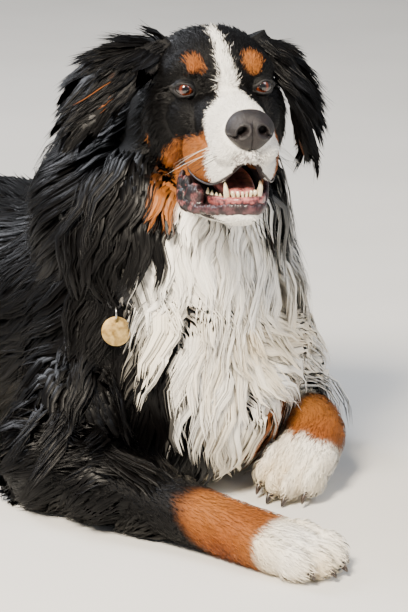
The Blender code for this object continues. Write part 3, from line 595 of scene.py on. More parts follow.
def tooth_finish() -> bpy.types.Material:
    """Enamel: smooth and cream, darker and yellower in clouds."""
    material, tree, shader = Finish("tooth_enamel", 0.25, coat=0.4, scatter=0.1).start()
    place = with_node(tree, "ShaderNodeTexCoord")
    cloud = with_node(tree, "ShaderNodeTexNoise", {"Scale": 260.0, "Detail": 2.0},
                      {"Vector": place.outputs["Object"]})
    colour = ramp_node(tree, cloud.outputs[0], ((0.3, linear("b9a078")), (0.65, linear("e6d8b8"))))
    tree.links.new(colour, shader.inputs["Base Color"])
    return material


def webbing_finish() -> bpy.types.Material:
    """Woven nylon webbing: matt black ribs about 1.5 mm apart."""
    material, tree, shader = Finish("woven_webbing", 0.8, sheen=0.2).start()
    place = with_node(tree, "ShaderNodeTexCoord")
    wave = with_node(tree, "ShaderNodeTexWave", {"Scale": 210.0, "bands_direction": "DIAGONAL", "Distortion": 0.5},
                     {"Vector": place.outputs["Object"]})
    colour = ramp_node(tree, wave.outputs["Fac"], ((0.2, linear("0f1012")), (0.8, linear("2b2c30"))))
    bump = with_node(tree, "ShaderNodeBump", {"Strength": 0.5, "Distance": 0.0005},
                     {"Height": wave.outputs["Fac"]})
    tree.links.new(colour, shader.inputs["Base Color"])
    tree.links.new(bump.outputs[0], shader.inputs["Normal"])
    return material


def brass_finish() -> bpy.types.Material:
    """Worn brass: dulled in clouds."""
    material, tree, shader = Finish("worn_brass", 0.4, metallic=0.85).start()
    place = with_node(tree, "ShaderNodeTexCoord")
    cloud = with_node(tree, "ShaderNodeTexNoise", {"Scale": 160.0, "Detail": 4.0},
                      {"Vector": place.outputs["Object"]})
    colour = ramp_node(tree, cloud.outputs[0], ((0.35, linear("a5834a")), (0.65, linear("d8b878"))))
    rough = with_node(tree, "ShaderNodeMapRange", {"To Min": 0.28, "To Max": 0.6}, {"Value": cloud.outputs[0]})
    tree.links.new(colour, shader.inputs["Base Color"])
    tree.links.new(rough.outputs[0], shader.inputs["Roughness"])
    return material


def steel_finish() -> bpy.types.Material:
    """Nickel-plated steel wire, polished by wear."""
    material, tree, shader = Finish("plated_steel", 0.25, metallic=1.0).start()
    place = with_node(tree, "ShaderNodeTexCoord")
    cloud = with_node(tree, "ShaderNodeTexNoise", {"Scale": 300.0, "Detail": 3.0},
                      {"Vector": place.outputs["Object"]})
    colour = ramp_node(tree, cloud.outputs[0], ((0.3, linear("9a9a98")), (0.7, linear("d5d5d2"))))
    tree.links.new(colour, shader.inputs["Base Color"])
    return material


class Markings:
    """The tricolour pattern of the breed, as borders in the head's and the body's frame."""

    black = np.array(linear("050404"))
    grey = np.array(linear("8d8580"))
    white = np.array(linear("fffbf2"))
    cream = np.array(linear("ead5ac"))
    tan = np.array(linear("7f4118"))
    pale_tan = np.array(linear("a96d30"))
    # Inside of the mouth: near black, its dark lining with painted shade of the deep hollow
    mouth = np.array(linear("1a0b0c"))

    def noise(self, places: np.ndarray, size: float, seed: int) -> np.ndarray:
        """Give smooth noise from -1 to 1.

        Args:
            places: World places, one row each.
            size: The size of a swell in metres.
            seed: Picks the noise.

        Returns:
            One number for each place.
        """
        rng = np.random.default_rng(seed)
        total = np.zeros(len(places))
        for _ in range(5):
            way = rng.normal(size=3)
            way *= 2 * math.pi / size / np.linalg.norm(way) * rng.uniform(0.7, 1.5)
            total += np.sin(places @ way + rng.uniform(0, 2 * math.pi))
        return total / 3

    def head_shares(self, p: np.ndarray) -> tuple[np.ndarray, np.ndarray, np.ndarray]:
        """Give how white and how tan the head is.

        Args:
            p: Places in the head's frame.

        Returns:
            The white, the tan and the share that belongs to the head at all.
        """
        x, y, z = p.T
        across = np.abs(x - np.interp(z, (0.3, 1.3, 4.0), (0.35, 0.2, -0.1)))
        half = np.interp(y, (-5.2, -4.0, -3.0, -1.0, 0.5, 4.0, 7.0), (3.2, 2.3, 1.6, 0.95, 0.72, 0.6, 0.25))
        blaze = ramp(across - half, 0.18, -0.18) * ramp(z, -3.6, -2.6) * ramp(y, 6.8, 4.5)
        front = np.interp(z, (-8.5, -6.9, -5.3, -4.9, -3.5, -2.0, -1.0, 0.0),
                          (-7.4, -7.3, -7.0, -6.3, -5.5, -5.1, -4.0, -3.2))
        muzzle = ramp(y - front, 0.25, -0.25)
        chin = ramp(z, -10.4, -11.0) * ramp(y, -3.2, -4.4)
        throat = ramp(z, -11.0, -11.8) * ramp(np.abs(x + 0.3), 4.4, 3.4)
        white = np.maximum.reduce([blaze, muzzle * ramp(z, -10.2, -9.6), chin, throat])
        upper = np.interp(y, (-6.0, -3.8, 1.3, 2.3, 6.0, 7.5), (-2.8, -4.3, -5.4, -6.3, -8.4, -9.5))
        cheek = ramp(z - upper, 0.25, -0.25) * ramp(y, 7.4, 6.6) * ramp(z, -12.9, -12.1)
        tan = cheek * (1 - ramp(z, -8.0, -9.5) * ramp(y, 4.4, 5.4)) * (1 - ramp(np.abs(x), 6.2, 6.9) * ramp(z, -6.0, -8.0))
        for centre, radii in (((3.05, 0.3, 2.6), (1.0, 1.6, 1.15)), ((8.0, 4.6, -6.3), (0.9, 1.3, 2.4)),
                              ((-10.6, 4.0, 0.4), (0.35, 3.0, 1.2))):
            across = x if centre[0] < 0 else np.abs(x)
            away = (np.stack([across, y, z], 1) - centre) / radii
            tan = np.maximum(tan, ramp(np.linalg.norm(away, axis=1), 1.12, 0.9))
        return white, tan, ramp(z, -13.9, -13.0) * ramp(y, 10.0, 8.5)

    def body_shares(self, p: np.ndarray) -> tuple[np.ndarray, np.ndarray]:
        """Give how white and how tan the body is.

        Args:
            p: Places in the world.

        Returns:
            The white and the tan.
        """
        x, y, z = p.T
        right = np.interp(z, (0.03, 0.07, 0.10, 0.14, 0.20, 0.23, 0.26, 0.285, 0.305, 0.33, 0.36),
                          (-0.030, -0.035, -0.045, -0.058, -0.080, -0.094, -0.108, -0.116, -0.108, -0.078, -0.066))
        left = np.interp(z, (0.03, 0.08, 0.12, 0.18, 0.22, 0.26, 0.30, 0.34, 0.37),
                         (0.080, 0.130, 0.160, 0.150, 0.125, 0.100, 0.085, 0.070, 0.050))
        rear = np.interp(z, (0.25, 0.30, 0.36, 0.40), (-0.245, -0.262, -0.300, -0.340))
        bib = ramp(x - right, -0.006, 0.006) * ramp(left - x, -0.006, 0.006) * ramp(y - rear, 0.01, -0.01)
        bib *= ramp(z, 0.43, 0.41)
        stretched = ramp(x, -0.055, -0.060) * ramp(y, -0.30, -0.33) * ramp(z, 0.085, 0.080)
        folded = ramp(x, 0.018, 0.022) * ramp(y, -0.315, -0.335) * ramp(z, 0.118, 0.110)
        white_paw = ramp(y - 0.35 * (x + 0.12), -0.532, -0.545) * stretched
        white_fold = ramp(z - (0.069 - 0.5 * (x - 0.066)), 0.004, -0.004) * folded
        tan_arm = ramp(y + 0.5 * (0.07 - z), -0.425, -0.450) * stretched
        tan_fold = ramp(y, -0.325, -0.345) * folded
        hind = ramp(np.abs(x), 0.15, 0.165) * ramp(z, 0.075, 0.06) * ramp(y, -0.10, -0.08)
        white_hind = hind * ramp(y, 0.065, 0.045)
        tan_hind = hind * ramp(y, 0.20, 0.15)
        tip = ramp(y, 0.665, 0.69)
        white = np.maximum.reduce([bib * (1 - np.maximum(stretched, folded)), white_paw, white_fold, white_hind, tip])
        return white, np.maximum.reduce([tan_arm, tan_fold, tan_hind])

    def colour(self, places: np.ndarray, jitter: float = 0.002, seed: int = 5) -> np.ndarray:
        """Give the coat's colour at places on the skin.

        Args:
            places: World places, one row each.
            jitter: How far the borders fray, in metres.
            seed: Picks the fraying.

        Returns:
            Linear RGB, one row for each place.
        """
        rng = np.random.default_rng(seed)
        moved = places + rng.normal(size=places.shape) * jitter
        moved += 0.003 * np.stack([self.noise(places, 0.03, s) for s in (1, 2, 3)], 1)
        p = head_local(moved)
        head_white, head_tan, on_head = self.head_shares(p)
        white, tan = self.body_shares(moved)
        white = np.maximum(white * (1 - on_head), head_white * on_head)
        tan = np.maximum(tan * (1 - on_head), head_tan * on_head)
        deep = (0.5 + 0.5 * self.noise(places, 0.09, 7))[:, None]
        low = ramp(moved[:, 2], 0.36, 0.22)[:, None] * (1 - on_head)[:, None]
        whites = self.white * (1 - 0.75 * low * deep) + self.cream * 0.75 * low * deep
        tans = self.tan * (1 - deep * 0.5) + self.pale_tan * deep * 0.5
        under = ramp(np.linalg.norm((p - (0, -11.2, -6.0)) / (2.1, 3.0, 1.5), axis=1), 1.2, 0.6)
        specks = ramp(rng.random(len(places)), 0.45, 0.6) * under * on_head
        whites = whites * (1 - specks[:, None]) + self.grey * specks[:, None]
        out = np.tile(self.black, (len(places), 1))
        out = out * (1 - tan[:, None]) + tans * tan[:, None]
        return out * (1 - white[:, None]) + whites * white[:, None]


def near_line(places: np.ndarray, points: Sequence[Sequence[float]]) -> np.ndarray:
    """Give the distance from each place to a line through points.

    Args:
        places: World places, one row each.
        points: The corners of the line.

    Returns:
        One distance for each place.
    """
    best = np.full(len(places), 9.0)
    for start, end in zip(points, points[1:]):
        start, way = np.array(start), np.array(end) - np.array(start)
        t = np.clip((places - start) @ way / (way @ way), 0, 1)
        best = np.minimum(best, np.linalg.norm(places - start - t[:, None] * way, axis=1))
    return best


def tree_of(objects: Sequence[bpy.types.Object]) -> BVHTree:
    """Make one search tree of the surfaces of some objects."""
    bm = bmesh.new()
    for obj in objects:
        bm.from_mesh(obj.data)
    tree = BVHTree.FromBMesh(bm)
    bm.free()
    return tree


def distances(tree: BVHTree, places: np.ndarray) -> np.ndarray:
    """Give the distance from each place to a surface."""
    return np.array([tree.find_nearest(Vector(p))[3] for p in places])


def dressed(obj: bpy.types.Object, material: bpy.types.Material,
            nodes: Sequence[str] = ()) -> bpy.types.Object:
    """Give a finished piece its material, body, slot and the nodes that it stands for.

    Args:
        obj: The piece.
        material: Its material.
        nodes: The solids that it replaces.

    Returns:
        The piece.
    """
    obj.data.materials.clear()
    obj.data.materials.append(material)
    if not obj.data.has_custom_normals:
        obj.data.shade_smooth()
    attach(obj, "root")
    if nodes:
        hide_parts(*nodes)
    LOG.info("%s: %d faces", obj.name, len(obj.data.polygons))
    return obj


def toe_balls(heel: Vector, tip: Vector, radius: float, spread: float) -> list[tuple[Vector, Vector, float]]:
    """Give the four toes of a paw.

    Args:
        heel: The middle of the paw.
        tip: Where its front is.
        radius: The size of a toe.
        spread: The distance between toes.

    Returns:
        The middle of each toe, the way the paw points and the paw's turn in degrees.
    """
    ahead = (tip - heel).normalized()
    side = ahead.cross(Vector((0, 0, 1))).normalized()
    turn = math.degrees(math.atan2(ahead.x, -ahead.y))
    return [(tip + side * across * spread + ahead * reach, ahead, turn)
            for across, reach in ((-1.5, -0.012), (-0.5, 0.0), (0.5, 0.0), (1.5, -0.012))]


@dataclass(frozen=True)
class Paw:
    """One paw: where it begins, where it ends and how big its toes are."""

    heel: Vector
    tip: Vector
    radius: float
    spread: float

    def toes(self) -> list[tuple[Vector, Vector, float]]:
        """Give its four toes."""
        return toe_balls(self.heel, self.tip, self.radius, self.spread)


PAWS = (
    Paw(RIGHT_WRIST.lerp(RIGHT_TOES, 0.42), RIGHT_TOES, 0.019, 0.0215),
    Paw(LEFT_WRIST.lerp(LEFT_TOES, 0.45), LEFT_TOES, 0.018, 0.020),
    Paw(Vector((0.206, 0.050, 0.030)), Vector((0.214, 0.0, 0.022)), 0.020, 0.0195),
    Paw(Vector((-0.206, 0.050, 0.030)), Vector((-0.214, 0.0, 0.022)), 0.020, 0.0195),
)


class Mouth:
    """The open mouth: its hollow, its lips, its teeth, its gum and its tongue."""

    # The jaw hangs a little to the dog's right
    shift = Vector((-0.18, 0, 0))
    # Lower lip from the right corner to the left: middle, half width, half height up and down, squareness
    lower_lip = (
        (-4.9, -1.4, -8.3, 0.26, 0.35, 0.35, 2), (-5.35, -2.1, -9.5, 0.42, 0.85, 0.85, 2),
        (-5.35, -3.3, -10.8, 0.66, 1.00, 1.00, 2.2), (-4.80, -4.7, -11.5, 0.74, 0.76, 0.76, 2.2),
        (-3.90, -6.5, -11.6, 0.60, 0.52, 0.52, 2), (-2.95, -8.3, -11.45, 0.46, 0.54, 0.54, 2),
        (-1.80, -9.75, -11.3, 0.40, 0.62, 0.62, 2), (-0.15, -10.3, -11.25, 0.40, 0.64, 0.64, 2),
        (1.25, -9.85, -11.3, 0.38, 0.60, 0.60, 2), (2.0, -8.5, -11.4, 0.34, 0.46, 0.46, 2),
        (2.5, -6.7, -11.2, 0.34, 0.40, 0.40, 2), (3.1, -4.9, -10.8, 0.34, 0.38, 0.38, 2),
        (3.6, -3.1, -10.0, 0.32, 0.38, 0.38, 2), (4.05, -1.7, -8.8, 0.26, 0.32, 0.32, 2),
    )
    gum_line = ((2.7, -5.6, -10.6), (2.3, -7.4, -10.5), (1.75, -8.8, -10.45), (0.95, -9.55, -10.4), (0.0, -9.75, -10.4))

    def inside(self, p: np.ndarray) -> np.ndarray:
        """Say which places of the head's frame lie between or behind the lips."""
        x, y, z = p.T
        upper = np.array(LIP_LINE)[::-1]
        right, left = np.array(self.lower_lip[:8])[::-1], np.array(self.lower_lip[7:])
        low, wide = (np.where(x < 0, np.interp(y, right[:, 1], right[:, k]), np.interp(y, left[:, 1], left[:, k]))
                     for k in (2, 0))
        high = np.interp(y, upper[:, 1], upper[:, 2])
        behind = (np.abs(x) < np.interp(y, upper[:, 1], upper[:, 0]) - 0.3) & (z < high + 3.0) & (y > -10.2)
        within = (np.abs(x) < np.abs(wide) - 0.4) & (z > low - 1.3)
        return (y < 0.4) & ((z > low) | within) & ((z < high + 0.05) | behind)

    def hollow(self) -> list[bpy.types.Object]:
        """Make the forms that are cut out of the skin: the throat and a gap along each lip."""
        throat = Clay(HEAD @ Matrix.Translation(self.shift))
        throat.limb((
            (0, 2.5, -8.6, 2.4, 1.2, 1.2, 2.2), (0, -1.0, -8.8, 2.9, 1.6, 1.5, 2.2),
            (0, -4.0, -9.2, 3.0, 2.2, 1.7, 2.2), (0, -7.0, -9.5, 2.5, 2.8, 1.8, 2.1),
            (0, -9.2, -9.6, 1.9, 3.3, 1.9, 2.0), (0, -11.0, -9.7, 1.6, 3.5, 1.9, 2.0),
            (0, -13.2, -9.8, 1.5, 3.5, 1.9, 2.0),
        ), sides=32, steps=4)
        forms = [throat.flesh("Throat")]
        for side in Side:
            gap = Clay(HEAD)
            rows = ((5.3, -1.9, -8.6, 0.9, 0.25, 0.3), (5.2, -3.0, -9.3, 1.3, 0.65, 0.7), (4.6, -5.0, -10.1, 1.5, 1.0, 1.1),
                    (3.9, -7.0, -10.4, 1.5, 1.1, 1.1), (3.0, -8.8, -10.2, 1.4, 1.4, 1.2), (2.0, -10.2, -9.8, 1.4, 2.0, 1.5),
                    (1.0, -11.4, -9.6, 1.2, 2.4, 1.7))
            gap.limb([(*sided(r[:3], side), *r[3:], 2) for r in rows], sides=24, steps=4)
            forms.append(gap.flesh("Gap"))
        return forms

    def lips(self) -> None:
        """Make the lower lip, which sags out at the corners, and the rims of the upper lips."""
        clay = Clay(HEAD)
        clay.limb(self.lower_lip, sides=20, steps=8)
        # The flap that hangs from the right corner
        clay.ball((-4.45, -4.7, -10.5), (0.85, 1.5, 1.35), (-25, 0, 22))
        clay.ball((-4.95, -3.2, -9.7), (0.6, 1.1, 1.2), (-20, 0, 12))
        lip = clay.fused("lower_lip", 0.0011, 3)
        # Folds where the lip sags
        for vert in lip.data.vertices:
            place = HEAD_INVERSE @ vert.co
            fold = 0.07 * math.sin(4.2 * place.y + 2.0 * place.x + 1.5 * place.z) + 0.04 * math.sin(9 * place.x - 5 * place.y)
            place.z += fold
            place.y -= 0.5 * fold
            vert.co = HEAD @ place
        dressed(lip, lip_finish())
        clay = Clay(HEAD)
        for side in Side:
            points = [sided((x + 0.02, y, z + 0.12), side) for x, y, z in ((5.2, -1.3, -7.9), *LIP_LINE)]
            clay.tube(points, 0.13, sides=12, steps=6)
        dressed(clay.flesh("upper_lip_rims"),
                leather_finish("dark_lip_rim", "0c0809", "241a1c", 1.2, 0.0003, 0.45, coat=0.2))

    def teeth(self) -> None:
        """Make the six lower incisors, both canines and the first cheek teeth."""
        clay = Clay(HEAD @ Matrix.Translation(self.shift))
        for side in Side:
            for x, y, top, wide in ((1.08, -9.2, -9.42, 0.21), (0.64, -9.5, -9.40, 0.17), (0.21, -9.6, -9.46, 0.15)):
                lean = 0.10 * x
                clay.limb([
                    (*sided((x * 0.94, y + 0.25, -10.6), side), wide * 0.75, 0.22, 0.22, 2.2),
                    (*sided((x, y, -10.0), side), wide * 0.95, 0.22, 0.22, 2.4),
                    (*sided((x + lean, y - 0.06, top - 0.25), side), wide, 0.17, 0.17, 2.6),
                    (*sided((x + lean, y - 0.04, top), side), wide * 0.7, 0.06, 0.06, 2.4),
                ], back=(0, -1, 0.2), sides=14, steps=4)
            clay.limb([
                (*sided((1.55, -8.5, -10.7), side), 0.36, 0.40, 0.40, 2), (*sided((1.70, -8.8, -9.9), side), 0.34, 0.38, 0.38, 2),
                (*sided((1.83, -8.95, -9.25), side), 0.27, 0.30, 0.30, 2), (*sided((1.86, -8.8, -8.75), side), 0.15, 0.16, 0.16, 2),
                (*sided((1.84, -8.68, -8.5), side), 0.05, 0.05, 0.05, 2),
            ], back=(0, -1, 0.2), sides=16, steps=5)
            for x, y, top, long in ((2.1, -7.5, -10.05, 0.26), (2.3, -6.6, -10.0, 0.34), (2.55, -5.6, -9.95, 0.40), (2.75, -4.4, -9.85, 0.46)):
                clay.limb([
                    (*sided((x, y, -10.9), side), 0.24, long, long, 2.2), (*sided((x, y, -10.3), side), 0.25, long, long, 2.2),
                    (*sided((x, y, top), side), 0.12, long * 0.55, long * 0.55, 2),
                    (*sided((x, y, top + 0.18), side), 0.05, 0.1, 0.1, 2),
                ], back=(0, 1, 0), sides=12, steps=4)
        dressed(clay.flesh("teeth"), tooth_finish())

    def gum_and_tongue(self) -> None:
        """Make the gum round the roots of the teeth and the tongue behind them."""
        clay = Clay(HEAD @ Matrix.Translation(self.shift))
        half = [(*p, 0.42, 0.36, 0.85, 2.2) for p in self.gum_line]
        clay.limb([*half, *((-r[0], *r[1:]) for r in reversed(half[:-1]))], sides=16, steps=8)
        dressed(clay.flesh("gum"), gum_finish("wet_gum", 0.28))
        clay = Clay(HEAD @ Matrix.Translation(self.shift))
        clay.limb((
            (0, 1.6, -8.4, 1.7, 0.6, 0.8, 2.2), (0, -2.0, -8.8, 2.1, 0.6, 1.6, 2.3), (0, -5.0, -9.35, 2.0, 0.55, 1.4, 2.3),
            (0, -7.4, -9.55, 1.6, 0.42, 1.0, 2.3), (0, -8.5, -9.62, 1.15, 0.30, 0.7, 2.2), (0, -8.95, -9.7, 0.6, 0.15, 0.4, 2),
        ), sides=28, steps=6)
        tongue = clay.fused("tongue_flesh", 0.0012, 3)
        for vert in tongue.data.vertices:
            place = HEAD_INVERSE @ vert.co
            place.z -= 0.14 * math.exp(-((place.x / 0.28) ** 2)) * (place.z > -9.9)
            vert.co = HEAD @ place
        dressed(tongue, gum_finish("tongue_flesh", 0.0), ("tongue",))

    def build(self) -> None:
        """Make all the pieces of the mouth."""
        self.lips()
        self.teeth()
        self.gum_and_tongue()


class Eyes:
    """Both eyeballs with their lids."""

    slit = (1.06, 0.60)
    outward = math.radians(16)
    gaze = Vector((-0.10, -1.0, 0.03)).normalized()

    def frame_of(self, side: Side) -> Matrix:
        """Give the frame of an eye: its middle, turned out to the side and tilted."""
        turn = Matrix.Rotation(self.outward * side.value, 4, "Z")
        tilt = Matrix.Rotation(math.radians(-6 * side.value), 4, "Y")
        return Matrix.Translation(Vector(sided(EYE_PLACE, side))) @ turn @ tilt

    def almond(self, angle: float, grow: float, side: Side) -> tuple[float, float]:
        """Give a place on the outline of the slit, with its tear corner drawn in and down.

        Args:
            angle: The angle round the slit.
            grow: How much bigger than the slit.
            side: Which eye.

        Returns:
            Across and up, in centimetres.
        """
        c, s = math.cos(angle), math.sin(angle)
        x = self.slit[0] * grow * c
        z = self.slit[1] * grow * s * (1 - 0.30 * c * c)
        inner = max(-c * side.value, 0.0)
        return x, z - 0.16 * grow * inner**3

    def sockets(self) -> tuple[list[bpy.types.Object], list[bpy.types.Object]]:
        """Make the bulges of the lids and the holes for the eyeballs."""
        bulges, holes = [], []
        for side in Side:
            bulge = Clay(HEAD)
            bulge.ball(sided(EYE_PLACE, side), (1.30,) * 3, fine=32)
            bulges.append(bulge.flesh("Bulge"))
            ball = Clay(HEAD)
            ball.ball(sided(EYE_PLACE, side), (1.2,) * 3, fine=32)
            holes.append(ball.flesh("Socket"))
            slit = Clay(HEAD)
            base = self.frame_of(side)
            middle, out = base @ Vector((0, -0.3, 0)), base @ Vector((0, -3.2, 0))
            slit.limb([(*middle, 1.05, 0.70, 0.70, 2), (*out, 1.6, 1.2, 1.2, 2)], sides=24, steps=1)
            holes.append(slit.flesh("Slit"))
        return bulges, holes

    def eyeball(self, side: Side) -> None:
        """Make an eyeball with the bulge of its cornea."""
        clay = Clay(HEAD)
        clay.ball(sided(EYE_PLACE, side), (EYE_RADIUS,) * 3, fine=64)
        name = "eye_left_ball" if side is Side.LEFT else "eye_right_ball"
        ball = clay.flesh(name)
        middle = HEAD @ Vector(sided(EYE_PLACE, side))
        gaze = (HEAD.to_3x3() @ self.gaze).normalized()
        for vert in ball.data.vertices:
            away = vert.co - middle
            angle = away.angle(gaze)
            bulge = max(0.0, 1 - (angle / 0.62) ** 2)
            vert.co = middle + away * (1 + 0.06 * bulge)
        dressed(ball, eye_finish(middle, gaze), (name.replace("_ball", ""),))

    def lids(self) -> None:
        """Make the lids: leather rims round the slits that sink into the skin."""
        bm = bmesh.new()
        turn = bm.verts.layers.float.new("turn")
        # How much bigger than the slit, and the distance from the middle of the eye
        profile = ((0.93, 1.17), (0.97, 1.21), (1.03, 1.26), (1.12, 1.30), (1.24, 1.32), (1.38, 1.30), (1.55, 1.20))
        for side in Side:
            base = HEAD @ self.frame_of(side)
            made = bmesh.ops.create_circle(bm, cap_ends=False, segments=64, radius=1.0)
            for vert in made["verts"]:
                vert[turn] = math.atan2(vert.co.y, vert.co.x)
            ring = list({edge for vert in made["verts"] for edge in vert.link_edges})
            for k, (grow, radius) in enumerate(profile):
                if k:
                    grown = bmesh.ops.extrude_edge_only(bm, edges=ring)
                    ring = [g for g in grown["geom"] if isinstance(g, bmesh.types.BMEdge)]
                for vert in {v for edge in ring for v in edge.verts}:
                    x, z = self.almond(vert[turn], grow, side)
                    fold = 0.05 * math.cos(7 * vert[turn] + side.value) * (k > 3)
                    depth = math.sqrt(max(radius * radius - x * x - z * z, 0.04))
                    vert.co = base @ Vector((x, -depth - fold, z))
        bmesh.ops.recalc_face_normals(bm, faces=bm.faces)
        mesh = bpy.data.meshes.new("eye_lids")
        bm.to_mesh(mesh)
        bm.free()
        lids = linked("eye_lids", mesh)
        thick = lids.modifiers.new("Thick", "SOLIDIFY")
        thick.thickness = 0.0005
        thick.offset = -1
        baked(lids)
        dressed(lids, leather_finish("lid_leather", "030202", "0d0909", 0.9, 0.0003, 0.7))

    def build(self) -> None:
        """Make both eyes and their lids."""
        for side in Side:
            self.eyeball(side)
        self.lids()


class Nose:
    """The nose leather, with nostrils, their slits and the groove between them."""

    def dent(self, x: np.ndarray, z: np.ndarray) -> np.ndarray:
        """Give how deep the leather is pressed in, seen from the front.

        Args:
            x: Centimetres across from the middle.
            z: Centimetres up from the middle.

        Returns:
            The depth in centimetres.
        """
        ax = np.abs(x)
        hole = np.hypot((ax - 1.08 + 0.25 * (z - 0.3)) / 0.50, (z - 0.32) / 0.52)
        depth = 1.25 * ramp(hole, 1.12, 0.6)
        wing = np.stack([ax, z], 1)
        for start, end, wide, deep in (((1.3, 0.0), (1.85, -0.40), 0.16, 0.60), ((1.85, -0.40), (2.45, -0.30), 0.12, 0.42)):
            start, way = np.array(start), np.array(end) - np.array(start)
            t = np.clip((wing - start) @ way / (way @ way), 0, 1)
            away = np.linalg.norm(wing - start - t[:, None] * way, axis=1)
            depth = np.maximum(depth, deep * np.exp(-((away / wide) ** 2)))
        groove = 0.20 * np.exp(-((x / 0.09) ** 2)) * ramp(z, 1.5, 0.6)
        rim = 0.16 * np.exp(-(((hole - 1.55) / 0.35) ** 2))
        cheeks = 0.15 * np.exp(-((ax / 0.45) ** 2)) * ramp(z, -0.2, -0.9)
        return depth + groove + cheeks - rim * (depth < 0.3)

    def build(self) -> None:
        """Make the nose from a finely divided ball."""
        bm = bmesh.new()
        bmesh.ops.create_icosphere(bm, subdivisions=6, radius=1.0)
        mesh = bpy.data.meshes.new("nose_leather")
        bm.to_mesh(mesh)
        bm.free()
        places = np.empty(len(mesh.vertices) * 3)
        mesh.vertices.foreach_get("co", places)
        places = places.reshape(-1, 3)
        places = np.sign(places) * np.abs(places) ** 0.88
        places *= np.array(NOSE_SIZE) * (0.98, 1.0, 0.98)
        x, y, z = places.T
        front = ramp(y, 0.1, -0.7)
        y = y + self.dent(x, z) * front
        x = x * (1 - 0.30 * ramp(z, 0.0, -1.9))
        y = y + 0.25 * ramp(z, 0.6, 2.0) - 0.1
        z = z - 0.12 * ramp(np.abs(x), 0.9, 2.4) * (z > 0)
        tilt = math.radians(8)
        turned = np.stack([x, y * math.cos(tilt) - z * math.sin(tilt), y * math.sin(tilt) + z * math.cos(tilt)], 1)
        world = (turned + np.array(NOSE_PLACE)) @ np.array(HEAD)[:3, :3].T + np.array(HEAD)[:3, 3]
        mesh.vertices.foreach_set("co", world.ravel())
        mesh.update()
        nose = linked("nose_leather", mesh)
        dressed(nose, leather_finish("nose_leather", "0d0809", "1c1415", 0.9, 0.0008, 0.48, coat=0.04), ("nose",))


